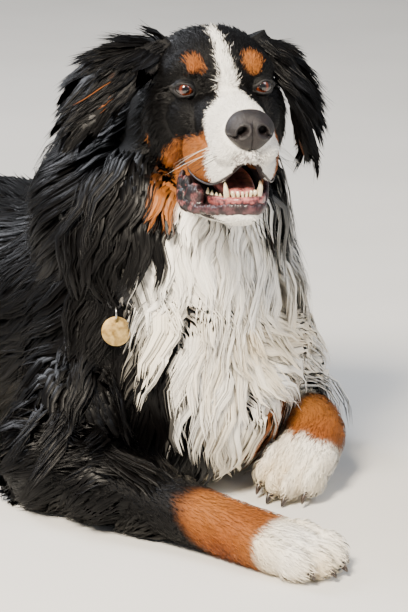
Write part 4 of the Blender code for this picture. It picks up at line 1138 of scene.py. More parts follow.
class Skin:
    """One skin over head, ears, neck, trunk, legs and tail."""

    nodes = ("head", "jaw", "ear_left", "ear_right", "neck", "torso", "foreleg_left", "foreleg_right",
             "hindleg_left", "hindleg_right", "tail")

    def trunk(self, clay: Clay) -> None:
        """Add chest, belly, rump, shoulders and neck."""
        for side in Side:
            less = TRUNK_COAT
            clay.ball(sided((0.108, -0.225, 0.185), side), (0.058 - less, 0.080 - less, 0.115 - less), (22, -10 * side.value, 0))
            clay.ball(sided((0.140, -0.235, 0.105), side), (0.058 - less, 0.078 - less, 0.075 - less))
        stations = (
            (0.358, 0.190, 0.060, 0.045), (0.340, 0.232, 0.020, 0.095), (0.280, 0.268, -0.012, 0.130),
            (0.190, 0.280, -0.012, 0.138), (0.080, 0.282, -0.012, 0.142), (-0.040, 0.288, -0.012, 0.148),
            (-0.140, 0.308, -0.012, 0.152), (-0.220, 0.322, -0.008, 0.148), (-0.290, 0.300, 0.002, 0.130),
            (-0.335, 0.250, 0.030, 0.100), (-0.355, 0.200, 0.080, 0.050),
        )
        clay.limb([(0, y, (top + low) / 2, wide, (top - low) / 2, (top - low) / 2, 2.3)
                   for y, top, low, wide in stations], sides=32, inset=TRUNK_COAT)
        clay.limb((
            (0.000, -0.140, 0.240, 0.100, 0.100, 0.100, 2), (0.000, -0.195, 0.285, 0.116, 0.118, 0.112, 2),
            (0.000, -0.240, 0.345, 0.109, 0.108, 0.104, 2), (0.002, -0.266, 0.405, 0.100, 0.098, 0.096, 2),
            (0.008, -0.280, 0.455, 0.088, 0.086, 0.088, 2), (0.010, -0.288, 0.490, 0.064, 0.060, 0.064, 2),
        ), back=(0, 1, 0.2), sides=28, inset=NECK_COAT)
        # The ruff, from the chest under the collar to the jaw
        axis = Matrix.Rotation(Collar.tilt, 3, "X") @ Vector((0, 0, 1))
        clay.limb([(*(Collar.middle + axis * t), wide, deep, deep, 2) for t, wide, deep in (
            (-0.11, 0.098, 0.100), (-0.05, 0.116, 0.126), (0.0, 0.121, 0.132), (0.035, 0.114, 0.122), (0.075, 0.096, 0.102),
            (0.110, 0.074, 0.080),
        )], back=(0, 1, 0.2), sides=28)

    def legs(self, clay: Clay) -> None:
        """Add all four legs with their paws."""
        less = LEG_COAT
        for elbow in (LEFT_ELBOW, RIGHT_ELBOW):
            clay.ball(elbow, (0.046 - less, 0.062 - less, 0.060 - less))
        wrist, tip = RIGHT_WRIST, RIGHT_TOES
        clay.limb([
            (*RIGHT_ELBOW, 0.047, 0.048, 0.048, 2), (*RIGHT_ELBOW.lerp(wrist, 0.35), 0.045, 0.042, 0.046, 2),
            (*RIGHT_ELBOW.lerp(wrist, 0.75), 0.040, 0.034, 0.040, 2), (*wrist, 0.038, 0.031, 0.039, 2),
            (*wrist.lerp(tip, 0.42), 0.043, 0.028, 0.035, 2.3), (*wrist.lerp(tip, 0.78), 0.047, 0.023, 0.029, 2.4),
            (*wrist.lerp(tip, 0.92), 0.038, 0.014, 0.024, 2.4),
        ], sides=24, inset=less)
        wrist, tip = LEFT_WRIST, LEFT_TOES
        clay.limb([
            (*LEFT_ELBOW, 0.047, 0.048, 0.048, 2), (*LEFT_ELBOW.lerp(wrist, 0.45), 0.044, 0.042, 0.046, 2),
            (*LEFT_ELBOW.lerp(wrist, 0.85), 0.038, 0.038, 0.042, 2),
            (*(LEFT_ELBOW.lerp(wrist, 1.08) - Vector((0, 0, 0.006))), 0.030, 0.030, 0.044, 2),
        ], sides=24, inset=less)
        clay.limb([
            (*(wrist + Vector((0.010, 0.004, 0.002))), 0.028, 0.028, 0.040, 2), (*wrist.lerp(tip, 0.25), 0.037, 0.032, 0.040, 2.2),
            (*wrist.lerp(tip, 0.45), 0.041, 0.030, 0.036, 2.3), (*wrist.lerp(tip, 0.8), 0.043, 0.024, 0.030, 2.4),
            (*wrist.lerp(tip, 0.94), 0.035, 0.015, 0.026, 2.4),
        ], sides=24, inset=less)
        for side in Side:
            clay.ball(sided((0.118, 0.215, 0.140), side), (0.066, 0.123, 0.106), (-18, 0, 8 * side.value), fine=28)
            clay.ball(sided((0.158, 0.118, 0.104), side), (0.044, 0.071, 0.071), (-25, 0, 0))
            clay.ball(sided((0.165, 0.270, 0.060), side), (0.035, 0.050, 0.047))
            clay.limb([(*sided(row[:3], side), *row[3:]) for row in (
                (0.160, 0.296, 0.040, 0.028, 0.034, 0.040, 2), (0.176, 0.250, 0.038, 0.034, 0.036, 0.042, 2),
                (0.192, 0.160, 0.036, 0.034, 0.034, 0.040, 2), (0.202, 0.090, 0.034, 0.035, 0.032, 0.038, 2.2),
                (0.208, 0.045, 0.030, 0.044, 0.027, 0.034, 2.4), (0.213, 0.010, 0.024, 0.038, 0.016, 0.030, 2.4),
            )], sides=20, inset=less)

    def paws(self) -> bpy.types.Object:
        """Make the toes of all paws with the furrows between them."""
        clay = Clay()
        for paw in PAWS:
            r = paw.radius - 0.003
            for place, ahead, turn in paw.toes():
                clay.ball(place, (r * 0.72, r * 1.50, r * 1.12), (0, 0, turn), fine=24)
                clay.ball(place - ahead * r * 1.5 + Vector((0, 0, 0.004)), (r * 0.66, r * 1.7, r * 0.95), (8, 0, turn), fine=24)
        return clay.fused("Paws", 0.0028, 2)

    def tail(self, clay: Clay) -> None:
        """Add the tail."""
        clay.limb((
            (0.000, 0.300, 0.130, 0.034, 0.034, 0.034, 2), (0.000, 0.365, 0.112, 0.040, 0.038, 0.040, 2),
            (0.004, 0.420, 0.064, 0.042, 0.040, 0.046, 2), (0.014, 0.480, 0.036, 0.044, 0.038, 0.046, 2),
            (0.034, 0.560, 0.032, 0.044, 0.034, 0.044, 2), (0.060, 0.640, 0.028, 0.040, 0.030, 0.040, 2),
            (0.084, 0.700, 0.024, 0.030, 0.024, 0.034, 2), (0.096, 0.728, 0.018, 0.016, 0.014, 0.020, 2),
        ), sides=20, inset=TAIL_COAT)

    def head(self) -> bpy.types.Object:
        """Make skull, brows, cheeks, muzzle, hanging lips and lower jaw as one form."""
        clay = Clay(HEAD)
        less = HEAD_COAT
        clay.ball((0, 6.8, 0.7), (6.9 - less, 7.8 - less, 5.5 - less), fine=40)
        for side in Side:
            s = side.value
            clay.ball(sided((3.2, 3.0, 1.9), side), (2.9 - less, 3.2 - less, 2.4 - less), (0, 20 * s, 0), fine=28)
            clay.ball(sided((4.5, 5.6, -3.6), side), (3.1 - less, 5.2 - less, 5.2 - less), (15, 0, 0), fine=32)
            # Cheekbone under the eye and the pad that carries the whiskers
            clay.ball(sided((4.3, 0.4, -3.0), side), (1.5, 3.0, 2.1), (10, 0, -14 * s), fine=28)
            clay.ball(sided((1.65, -9.3, -5.0), side), (1.75, 1.9, 1.75), (0, 0, 0), fine=28)
            curtain = [((x - 0.45) * s, y, z + 1.9, 1.0, 2.2, 1.9, 2) for x, y, z in LIP_LINE]
            clay.limb(curtain, sides=20, inset=less * 0.7, steps=4)
        clay.limb((
            (0, 4.0, -2.6, 5.4, 3.4, 5.5, 2.3), (0, -0.6, -3.2, 4.5, 3.4, 4.2, 2.3), (0, -4.0, -3.7, 3.8, 3.4, 4.0, 2.3),
            (0, -7.0, -4.0, 3.5, 3.3, 3.4, 2.3), (0, -9.5, -4.2, 3.3, 3.2, 2.9, 2.3), (0, -10.7, -4.3, 2.8, 2.8, 2.2, 2.2),
            (0, -11.2, -4.3, 1.8, 1.9, 1.6, 2),
        ), sides=32, inset=less, steps=4)
        clay.limb((
            (0, 5.0, -8.6, 4.4, 2.0, 3.4, 2.2), (-0.2, 2.0, -9.2, 4.8, 1.6, 3.8, 2.2), (-0.6, -1.0, -10.2, 4.6, 1.5, 3.2, 2.4),
            (-0.8, -4.0, -11.2, 4.1, 1.5, 2.3, 2.4), (-0.6, -6.5, -11.6, 3.2, 1.6, 1.8, 2.4), (-0.4, -8.6, -11.7, 2.5, 1.6, 1.7, 2.4),
            (-0.25, -9.8, -11.8, 1.9, 1.5, 1.4, 2.3), (-0.2, -10.4, -11.9, 1.1, 0.9, 0.9, 2),
        ), sides=32, inset=less, steps=4)
        return clay.fused("Head", 0.0022, 3)

    def ear(self, side: Side) -> bpy.types.Object:
        """Make an ear flap, cupped towards the head; the right one is swung out."""
        tip = (10.8, 5.8, -6.6) if side is Side.LEFT else (-15.4, 6.2, -4.8)
        root, tip = Vector(sided((6.0, 6.8, 4.2), side)), Vector(tip)
        along = (tip - root).normalized()
        away = Vector((side.value, 0, 0))
        outward = (away - along * along.dot(away)).normalized()
        facing = Vector((side.value, -0.55, 0))
        out = (facing - along * along.dot(facing)).normalized()
        across = along.cross(out)
        bm = bmesh.new()
        turn = bm.verts.layers.float.new("turn")
        made = bmesh.ops.create_circle(bm, cap_ends=True, segments=28, radius=1.0)
        for vert in made["verts"]:
            vert[turn] = math.atan2(vert.co.y, vert.co.x)
        face = made["verts"][0].link_faces[0]
        profile = smooth_rows((
            (-0.10, 2.3, 0.45), (0.06, 3.2, 0.38), (0.26, 4.0, 0.27), (0.48, 3.9, 0.22), (0.70, 3.1, 0.20),
            (0.88, 2.0, 0.17), (0.97, 0.9, 0.14),
        ), 4)
        for i, (t, wide, thick) in enumerate(profile):
            if i:
                face = pushed(bm, face, i > 1)
            middle = root.lerp(tip, t) + outward * (2.1 * math.sin(math.pi * min(max(t, 0), 1) ** 0.7))
            for vert in face.verts:
                u, v = math.cos(vert[turn]), math.sin(vert[turn])
                cup = -1.6 * u * u * (1 - 0.5 * t)
                vert.co = HEAD @ (middle + across * (u * (wide - 0.1)) + out * (v * thick + cup))
        bmesh.ops.recalc_face_normals(bm, faces=bm.faces)
        mesh = bpy.data.meshes.new("Ear")
        bm.to_mesh(mesh)
        bm.free()
        return linked("Ear", mesh)

    def build(self, mouth: Mouth, eyes: Eyes, markings: Markings) -> "Skin":
        """Fuse all forms, cut the mouth and the eyes, unwrap and colour the skin.

        Args:
            mouth: The mouth that is cut into it.
            eyes: The eyes that are set into it.
            markings: The colours of the coat.

        Returns:
            The skin itself.
        """
        clay = Clay()
        self.trunk(clay)
        self.legs(clay)
        self.tail(clay)
        skin = clay.fused("skin", 0.006, 5)
        head = self.head()
        paws = self.paws()
        ears = [self.ear(side) for side in Side]
        bulges, holes = eyes.sockets()
        self.head_tree = tree_of([head, *bulges])
        self.ear_tree = tree_of(ears)
        hollow = mouth.hollow()
        self.mouth_tree = tree_of(hollow)
        combined(skin, [head, paws, *ears, *bulges], "UNION")
        combined(skin, [*hollow, *holes], "DIFFERENCE")
        bm = bmesh.new()
        bm.from_mesh(skin.data)
        for vert in bm.verts:
            vert.co.z = max(vert.co.z, 0.001)
        bmesh.ops.dissolve_degenerate(bm, dist=1e-5, edges=bm.edges)
        bmesh.ops.triangulate(bm, faces=bm.faces)
        bm.to_mesh(skin.data)
        bm.free()
        self.unwrap(skin)
        self.read(skin)
        colours = markings.colour(self.places, 0.0)
        # The inside of the mouth is near black: its dark lining and painted shade of the hollow
        colours[self.parts == 3] = markings.mouth
        attribute = skin.data.color_attributes.new("Coat", "FLOAT_COLOR", "POINT")
        rgba = np.ones((len(self.places), 4))
        rgba[:, :3] = colours
        attribute.data.foreach_set("color", rgba.ravel())
        dressed(skin, skin_finish(), self.nodes)
        return self

    def unwrap(self, skin: bpy.types.Object) -> None:
        """Unwrap the skin by its own shape."""
        skin.data.uv_layers.new(name="OFBake")
        bpy.context.view_layer.objects.active = skin
        for obj in bpy.context.view_layer.objects:
            obj.select_set(obj is skin)
        bpy.ops.object.mode_set(mode="EDIT")
        bpy.ops.mesh.select_all(action="SELECT")
        bpy.ops.uv.smart_project(angle_limit=math.radians(66), island_margin=0.001)
        bpy.ops.object.mode_set(mode="OBJECT")

    def read(self, skin: bpy.types.Object) -> None:
        """Keep the skin's places, normals, triangles and unwrap as arrays, and each vertex's part."""
        mesh = skin.data
        count, sides = len(mesh.vertices), len(mesh.loops)
        self.places = np.empty(count * 3)
        mesh.vertices.foreach_get("co", self.places)
        self.places = self.places.reshape(-1, 3)
        self.normals = np.empty(count * 3)
        mesh.vertex_normals.foreach_get("vector", self.normals)
        self.normals = self.normals.reshape(-1, 3)
        corners = np.empty(sides, int)
        mesh.loops.foreach_get("vertex_index", corners)
        self.triangles = corners.reshape(-1, 3)
        flat = np.empty(sides * 2)
        mesh.uv_layers["OFBake"].data.foreach_get("uv", flat)
        self.unwrapped = flat.reshape(-1, 3, 2)
        self.tree = BVHTree.FromPolygons(self.places.tolist(), self.triangles.tolist())
        # 0 body, 1 head, 2 ear, 3 inside of the mouth
        self.parts = np.zeros(count, int)
        near = np.linalg.norm(self.places - np.array(HEAD_AT), axis=1) < 0.26
        spots = np.flatnonzero(near)
        self.parts[spots[distances(self.head_tree, self.places[spots]) < 0.0005]] = 1
        self.parts[spots[distances(self.ear_tree, self.places[spots]) < 0.0004]] = 2
        self.parts[spots[distances(self.mouth_tree, self.places[spots]) < 0.0004]] = 3
        self.parts[spots[Mouth().inside(head_local(self.places[spots]))]] = 3
        a, b, c = (self.places[self.triangles[:, i]] for i in range(3))
        self.areas = np.linalg.norm(np.cross(b - a, c - a), axis=1) / 2
        self.middles = (a + b + c) / 3
        self.triangle_parts = self.parts[self.triangles].max(axis=1)

    def scatter(self, grows: np.ndarray, count: int, rng: np.random.Generator) -> dict[str, np.ndarray]:
        """Spread roots evenly over some of the skin.

        Args:
            grows: For each triangle, how thickly the coat grows there.
            count: How many roots.
            rng: The source of chance.

        Returns:
            Places, normals and unwrapped places of the roots.
        """
        total = np.cumsum(self.areas * grows)
        spots = np.searchsorted(total, (np.arange(count) + rng.random(count)) / count * total[-1])
        spots = np.minimum(spots, len(total) - 1)
        u, v = np.sort(rng.random((2, count)), axis=0)
        shares = np.stack([u, v - u, 1 - v], 1)[:, :, None]
        chosen = self.triangles[spots]
        return {
            "places": (self.places[chosen] * shares).sum(axis=1),
            "normals": unit((self.normals[chosen] * shares).sum(axis=1)),
            "unwrapped": (self.unwrapped[spots] * shares).sum(axis=1),
        }

    def nearest(self, places: np.ndarray) -> tuple[np.ndarray, np.ndarray]:
        """Give the nearest places on the skin and its normals there."""
        found = [self.tree.find_nearest(Vector(p)) for p in places]
        return np.array([f[0] for f in found]), np.array([f[1] for f in found])


def collar_lift(places: np.ndarray) -> np.ndarray:
    """Give how much higher the coat stands where it hides the collar.

    Args:
        places: World places, one row each.

    Returns:
        Metres, one for each place.
    """
    turn = np.array(Matrix.Rotation(Collar.tilt, 3, "X"))
    local = (places - np.array(Collar.middle)) @ turn
    out = np.hypot(local[:, 0] / Collar.half[0], local[:, 1] / Collar.half[1])
    return 0.008 * np.exp(-((local[:, 2] / 0.040) ** 2)) * ramp(out, 0.6, 0.75) * ramp(out, 1.25, 1.1)


class Blade:
    """The form of one tuft: three-sided and tapered, closed at its root, pointed at its tip."""

    roundness = 0.4

    def __init__(self, rings: int) -> None:
        """Shape it from a three-sided cone that is cut across.

        Args:
            rings: How many outlines it has below its tip.
        """
        bm = bmesh.new()
        bmesh.ops.create_cone(bm, cap_ends=True, segments=3, radius1=1.0, radius2=0.0, depth=1.0,
                              matrix=Matrix.Translation((0, 0, 0.5)))
        for k in range(1, rings):
            bmesh.ops.bisect_plane(bm, geom=[*bm.verts, *bm.edges, *bm.faces], plane_co=(0, 0, k / rings),
                                   plane_no=(0, 0, 1))
        bm.verts.index_update()
        self.rings = rings
        heights = np.array([v.co.z for v in bm.verts])
        self.ring = np.rint(heights * rings).astype(int)
        angles = np.array([math.atan2(v.co.x, v.co.y) for v in bm.verts])
        corner = np.rint(angles / (2 * math.pi / 3)).astype(int) % 3
        self.across = np.array([0.0, 1.0, -1.0])[corner]
        self.up = np.array([0.7, -0.3, -0.3])[corner]
        self.faces = [[v.index for v in face.verts] for face in bm.faces]
        bm.free()

    def copies(self, name: str, spines: np.ndarray, sides: np.ndarray, ups: np.ndarray, widths: np.ndarray,
               thick: np.ndarray, colours: np.ndarray, unwrapped: np.ndarray,
               rng: np.random.Generator) -> bpy.types.Object:
        """Lay copies of the blade along spines as one mesh.

        Args:
            name: The name of the object.
            spines: The middle of each ring and the tip, for each tuft.
            sides: The direction across each ring.
            ups: The direction away from the skin at each ring.
            widths: Half the width of each ring.
            thick: How thick each tuft is against its width.
            colours: Linear RGB for each ring.
            unwrapped: Each root's place on the unwrapped skin.
            rng: The source of chance.

        Returns:
            The object.
        """
        count = len(spines)
        ring = self.ring
        wide = widths[:, ring, None]
        places = spines[:, ring] + sides[:, ring] * self.across[None, :, None] * wide
        places = places + ups[:, ring] * self.up[None, :, None] * wide * thick[:, None, None]
        places[..., 2] = np.maximum(places[..., 2], 0.0006)
        size = len(ring)
        lengths = np.array([len(f) for f in self.faces])
        corners = np.concatenate(self.faces)
        loops = (corners[None, :] + (np.arange(count) * size)[:, None]).ravel()
        mesh = bpy.data.meshes.new(name)
        mesh.vertices.add(count * size)
        mesh.vertices.foreach_set("co", places.astype(np.float32).ravel())
        mesh.loops.add(len(loops))
        mesh.loops.foreach_set("vertex_index", loops.astype(np.int32))
        starts = np.concatenate([[0], np.cumsum(lengths)[:-1]])
        starts = (starts[None, :] + (np.arange(count) * len(corners))[:, None]).ravel()
        mesh.polygons.add(count * len(lengths))
        mesh.polygons.foreach_set("loop_start", starts.astype(np.int32))
        mesh.update(calc_edges=True)
        along = ring / self.rings
        hair = mesh.uv_layers.new(name="Hair")
        shift = rng.random((count, 1, 2)) * (40, 7)
        strand = np.stack([self.across * 0.5, along * 3], 1)[None] + shift
        hair.data.foreach_set("uv", strand[:, corners].astype(np.float32).ravel())
        patch = mesh.uv_layers.new(name="OFBake")
        spread = np.stack([self.across * 0.5, along - 0.5], 1)[None] * 0.003
        spots = np.clip(unwrapped[:, None] + spread, 0.0, 1.0)
        patch.data.foreach_set("uv", spots[:, corners].astype(np.float32).ravel())
        attribute = mesh.color_attributes.new("Coat", "FLOAT_COLOR", "POINT")
        rgba = np.ones((count, size, 4), np.float32)
        rgba[..., :3] = colours[:, ring]
        attribute.data.foreach_set("color", rgba.ravel())
        mesh.polygons.foreach_set("use_smooth", np.ones(len(mesh.polygons), bool))
        # Hair scatters light softly, so a tuft is shaded mostly as the coat round it is
        soft = unit(ups[:, ring] + sides[:, ring] * self.across[None, :, None] * self.roundness)
        mesh.normals_split_custom_set_from_vertices(soft.reshape(-1, 3).astype(np.float32))
        return linked(name, mesh)


@dataclass(frozen=True)
class Coat:
    """How one region of the coat grows."""

    name: str
    count: int
    rings: int
    width: float
    reach: Callable[[np.ndarray], np.ndarray]
    flow: Callable[[np.ndarray], np.ndarray]
    grows: Callable[[np.ndarray, np.ndarray], np.ndarray]
    stand: tuple[float, float]
    guides: int = 0
    clump: float = 0.5
    wave: float = 0.0
    turns: float = 1.0
    stray: float = 0.002
    locks: float = 0.0
    settles: bool = True
    seed: int = 1


class CoatGrower:
    """Grows the regions of the coat on the skin."""

    # Painted shade: at its root a tuft keeps this share of its colour, as if shaded by the coat round it
    painted_root_shade = 0.55
    sink = 0.0015
    # A lock of the undercoat is this many times as broad as a loose tuft
    broad = 5.5
    most_triangles = 190_000

    def __init__(self, skin: Skin, markings: Markings, material: bpy.types.Material) -> None:
        """Keep what the coat grows on.

        Args:
            skin: The skin.
            markings: The colours.
            material: The hair's material.
        """
        self.skin, self.markings, self.material = skin, markings, material
        start, _, down = Collar().hang()
        self.tag = np.array(start + down * 0.024)

    def trails(self, coat: Coat, roots: dict[str, np.ndarray], rng: np.random.Generator,
               phase: np.ndarray) -> tuple[np.ndarray, np.ndarray]:
        """Lay paths over the skin from roots along the lie of the coat.

        Args:
            coat: The region.
            roots: Where the paths begin.
            rng: The source of chance.
            phase: Where the wave of each path begins.

        Returns:
            The places of each path and the normals there.
        """
        place, normal = roots["places"], roots["normals"]
        steps = coat.rings
        reach = coat.reach(place) * rng.uniform(0.85, 1.15, len(place))
        spines, ups = [place - normal * self.sink], [normal]
        at = place
        for k in range(1, steps + 1):
            t = k / steps
            lie = coat.flow(at)
            lie = unit(lie - normal * np.sum(lie * normal, axis=1, keepdims=True))
            side = np.cross(lie, normal)
            swing = np.sin(2 * math.pi * coat.turns * t + phase) - np.sin(2 * math.pi * coat.turns * (t - 1 / steps) + phase)
            sway = coat.wave * swing * np.minimum(reach / 0.08, 1.0) ** 1.5
            at = at + lie * (reach / steps)[:, None] + side * sway[:, None]
            height = coat.stand[0] + (coat.stand[1] - coat.stand[0]) * t**1.3
            if coat.settles:
                at, normal = self.skin.nearest(at)
            rise = height + collar_lift(at) * min(2 * t, 1.0)
            rise = rise * (1 - 0.8 * np.exp(-((np.linalg.norm(at - self.tag, axis=1) / 0.032) ** 2)))
            spines.append(at + normal * rise[:, None])
            ups.append(normal)
        return np.stack(spines, 1), np.stack(ups, 1)

    def grow(self, coat: Coat) -> None:
        """Grow one region and dress its pieces.

        Args:
            coat: The region.
        """
        rng = np.random.default_rng(coat.seed)
        skin = self.skin
        grows = coat.grows(skin.middles, skin.triangle_parts)
        if grows.sum() == 0:
            LOG.warning("%s grows nowhere", coat.name)
            return
        roots = skin.scatter(grows, coat.count, rng)
        places, normals = roots["places"], roots["normals"]
        steps = np.linspace(0, 1, coat.rings + 1)
        broad = rng.random(coat.count) < coat.locks
        if coat.guides:
            leads = skin.scatter(grows, coat.guides, rng)
            phase = 2.5 * self.markings.noise(leads["places"], 0.14, coat.seed) + rng.uniform(-0.4, 0.4, coat.guides)
            trails, ups = self.trails(coat, leads, rng, phase)
            finder = KDTree(coat.guides)
            for i, place in enumerate(leads["places"]):
                finder.insert(place, i)
            finder.balance()
            near = np.array([finder.find(Vector(p))[1] for p in places])
            guide = trails[near]
            start = guide[:, :1]
            own = places[:, None] - normals[:, None] * self.sink - start
            pull = (1 - coat.clump * steps**1.2)[None, :, None]
            ratio = rng.uniform(0.75, 1.15, (coat.count, 1, 1))
            spines = start + own * pull + (guide - start) * ratio
            ups = ups[near]
            stray = coat.stray * np.where(broad, 0.4, 1.0)[:, None, None]
            free = rng.normal(size=(coat.count, 1, 3)) * stray
            spines = spines + free * (steps**1.5)[None, :, None]
            lift = np.abs(rng.normal(size=(coat.count, 1, 1))) * stray * 1.2
            spines = spines + ups * lift * steps[None, :, None]
        else:
            lie = coat.flow(places) + rng.normal(size=places.shape) * 0.12
            lie = unit(lie - normals * np.sum(lie * normals, axis=1, keepdims=True))
            reach = (coat.reach(places) * rng.uniform(0.75, 1.2, coat.count))[:, None, None]
            rise = np.interp(steps, (0, 0.5, 1), (-self.sink, coat.stand[0], coat.stand[1]))[None, :, None]
            rise = rise * rng.uniform(0.6, 1.4, (coat.count, 1, 1))
            spines = places[:, None] + lie[:, None] * reach * steps[None, :, None] + normals[:, None] * rise
            bend = np.cross(lie, normals)[:, None] * rng.normal(size=(coat.count, 1, 1)) * 0.12 * reach
            spines = spines + bend * (steps**2)[None, :, None]
            ups = np.repeat(normals[:, None], coat.rings + 1, axis=1)
        spines[..., 2] = np.maximum(spines[..., 2], 0.0025)
        ahead = unit(np.gradient(spines, axis=1))
        sides = unit(np.cross(ups, ahead))
        ups = np.cross(ahead, sides)
        roll = rng.normal(size=(coat.count, 1, 1)) * np.where(broad, 0.08, 0.28)[:, None, None]
        sides, ups = sides * np.cos(roll) + ups * np.sin(roll), ups * np.cos(roll) - sides * np.sin(roll)
        shape = (0.7 + 0.3 * ramp(steps, 0, 0.3)) * (1 - steps**2.2) ** 0.8
        widths = coat.width / 2 * shape[None] * rng.uniform(0.7, 1.3, (coat.count, 1))
        widths = widths * np.where(broad, self.broad, 1.0)[:, None]
        thick = np.where(broad, 0.14, 0.8)
        colours = self.markings.colour(places, seed=coat.seed)
        spread = 0.20 - 0.15 * ramp(colours[:, 1], 0.1, 0.5)[:, None]
        colours = colours * (1 + spread * rng.uniform(-1, 1, (coat.count, 1)))
        # Painted shade: each tuft is darkened towards its root, much less on bright tufts
        dark = (1 - self.painted_root_shade) * (1 - 0.95 * ramp(colours[:, 1], 0.1, 0.5))
        colours = colours[:, None] * (1 - dark[:, None] * (1 - ramp(steps, 0.0, 0.55))[None])[..., None]
        blade = Blade(coat.rings)
        most = self.most_triangles // (6 * coat.rings - 2)
        pieces = math.ceil(coat.count / most)
        order = np.argsort(places[:, 1])
        for number, chosen in enumerate(np.array_split(order, pieces)):
            name = coat.name if pieces == 1 else f"{coat.name}_{number + 1}"
            tufts = blade.copies(name, spines[chosen], sides[chosen], ups[chosen], widths[chosen],
                                 thick[chosen], colours[chosen], roots["unwrapped"][chosen], rng)
            dressed(tufts, self.material)


def side_of(x: np.ndarray) -> np.ndarray:
    """Give 1 on the dog's left and -1 on its right, and less close to the middle."""
    return np.tanh(x / 0.8)


class Lie:
    """The way the hair lies, region by region, and how long it is."""

    def face(self, places: np.ndarray) -> np.ndarray:
        """Back from the nose, up the forehead, down over the cheeks, away from the eyes."""
        p = head_local(places)
        x, y, z = p.T
        down = ramp(z, 1.5, -6.0)
        way = np.stack([0.35 * side_of(x) * (0.5 + down), np.ones(len(p)), 0.25 - 1.1 * down], 1)
        for side in Side:
            away = p - np.array(sided(EYE_PLACE, side))
            far = np.linalg.norm(away, axis=1)
            way += (away / far[:, None]) * (2.2 * np.exp(-((far / 2.0) ** 2)))[:, None]
        muzzle = ramp(y, -7.5, -10.0) * ramp(z, -3.0, -5.0)
        way += np.stack([0.9 * side_of(x), np.zeros(len(p)), -0.4 * np.ones(len(p))], 1) * muzzle[:, None]
        way += 0.35 * np.stack([0 * x, 0 * x, np.sin(0.9 * y + 0.7 * x)], 1)
        return head_direction(way)

    def cheek(self, places: np.ndarray) -> np.ndarray:
        """Back and down over the cheek."""
        x = head_local(places)[:, 0]
        return head_direction(np.stack([0.35 * side_of(x), np.ones(len(x)), np.full(len(x), -1.1)], 1))

    def ear(self, places: np.ndarray) -> np.ndarray:
        """Down the flap and out to its rear edge."""
        p = head_local(places)
        left = p[:, 0] > 0
        away = np.where(left[:, None], (0.35, 0.25, -1.0), (-1.0, 0.2, -1.05))
        drift = 0.35 * np.sin(0.9 * p[:, 2] + 0.6 * p[:, 1])
        return head_direction(away + np.stack([0 * drift, drift, 0 * drift], 1))

    def neck(self, places: np.ndarray) -> np.ndarray:
        """Down the throat, down and back over the sides and the nape."""
        back = 0.15 + 0.9 * ramp(places[:, 1], -0.33, -0.18)
        return np.stack([2.2 * places[:, 0], back, -np.ones(len(places))], 1)

    def bib(self, places: np.ndarray) -> np.ndarray:
        """Down over the chest, sweeping to the left at its middle height."""
        x, _, z = places.T
        belt = ramp(z, 0.235, 0.18) * ramp(z, 0.08, 0.12)
        way = 0.6 * x + 1.5 * belt * ramp(x, -0.03, 0.05) + 0.22 * np.sin(38 * z + 20 * x)
        return np.stack([way, np.full(len(x), 0.05), -np.ones(len(x))], 1)

    def back(self, places: np.ndarray) -> np.ndarray:
        """Back and a little down along back and flanks, down behind."""
        x, y, _ = places.T
        rear = ramp(y, 0.28, 0.36)[:, None]
        sway = 0.25 * np.sin(22 * y + 14 * x)
        flank = np.stack([1.6 * x, np.ones(len(x)), -0.35 - 3.4 * np.abs(x) + sway], 1)
        breech = np.stack([x, np.full(len(x), 0.35), -np.ones(len(x))], 1)
        return flank * (1 - rear) + breech * rear

    def thigh(self, places: np.ndarray) -> np.ndarray:
        """Back and down over the thigh."""
        x, y, _ = places.T
        return np.stack([0.6 * x, np.ones(len(x)), -0.8 + 0.25 * np.sin(25 * y)], 1)

    def tail(self, places: np.ndarray) -> np.ndarray:
        """Along the tail and out to both sides."""
        x, y, _ = places.T
        side = np.tanh((x - 0.35 * (y - 0.45)) / 0.015)
        return np.stack([0.25 + 0.38 * side, np.ones(len(x)), np.full(len(x), -0.15)], 1)

    def foreleg(self, places: np.ndarray) -> np.ndarray:
        """Along the forearms towards the toes."""
        left = places[:, 0] > 0.015
        elbow, wrist, toes = (np.where(left[:, None], a, b) for a, b in (
            (LEFT_ELBOW, RIGHT_ELBOW), (LEFT_WRIST, RIGHT_WRIST), (LEFT_TOES, RIGHT_TOES)))
        upper, lower = unit(wrist - elbow), unit(toes - wrist)
        on = ramp(np.sum((places - wrist) * upper, axis=1), -0.02, 0.02)[:, None]
        return upper * (1 - on) + lower * on + (0, 0, -0.25)

    def feather(self, places: np.ndarray) -> np.ndarray:
        """Back and down from the forearm and the elbow."""
        x = places[:, 0]
        return np.stack([1.5 * x, np.ones(len(x)), np.full(len(x), -0.6)], 1)

    def hind_foot(self, places: np.ndarray) -> np.ndarray:
        """Forward along the hind feet."""
        return np.tile((0.0, -1.0, -0.3), (len(places), 1))


LIE = Lie()


def forelimb(places: np.ndarray) -> np.ndarray:
    """Say which places are on a foreleg."""
    right = near_line(places, (RIGHT_ELBOW, RIGHT_WRIST, RIGHT_TOES)) < 0.056
    left = near_line(places, (LEFT_ELBOW, LEFT_WRIST, LEFT_TOES)) < 0.054
    front = (places[:, 1] < -0.245) & (places[:, 2] < 0.125)
    return front & ((right & (places[:, 0] < -0.03)) | (left & (places[:, 0] > 0.0)))


def hind_foot(places: np.ndarray) -> np.ndarray:
    """Say which places are on a hind foot."""
    line = ((0.176, 0.22, 0.036), (0.192, 0.16, 0.036), (0.205, 0.06, 0.032), (0.214, -0.03, 0.022))
    return near_line(np.abs(places) * (1, 0, 0) + places * (0, 1, 1), line) < 0.052


def eye_gap(places: np.ndarray) -> np.ndarray:
    """Give the distance from places in the head's frame to the nearest eye, in centimetres."""
    folded = np.abs(places) * (1, 0, 0) + places * (0, 1, 1)
    return np.linalg.norm(folded - np.array(EYE_PLACE), axis=1)


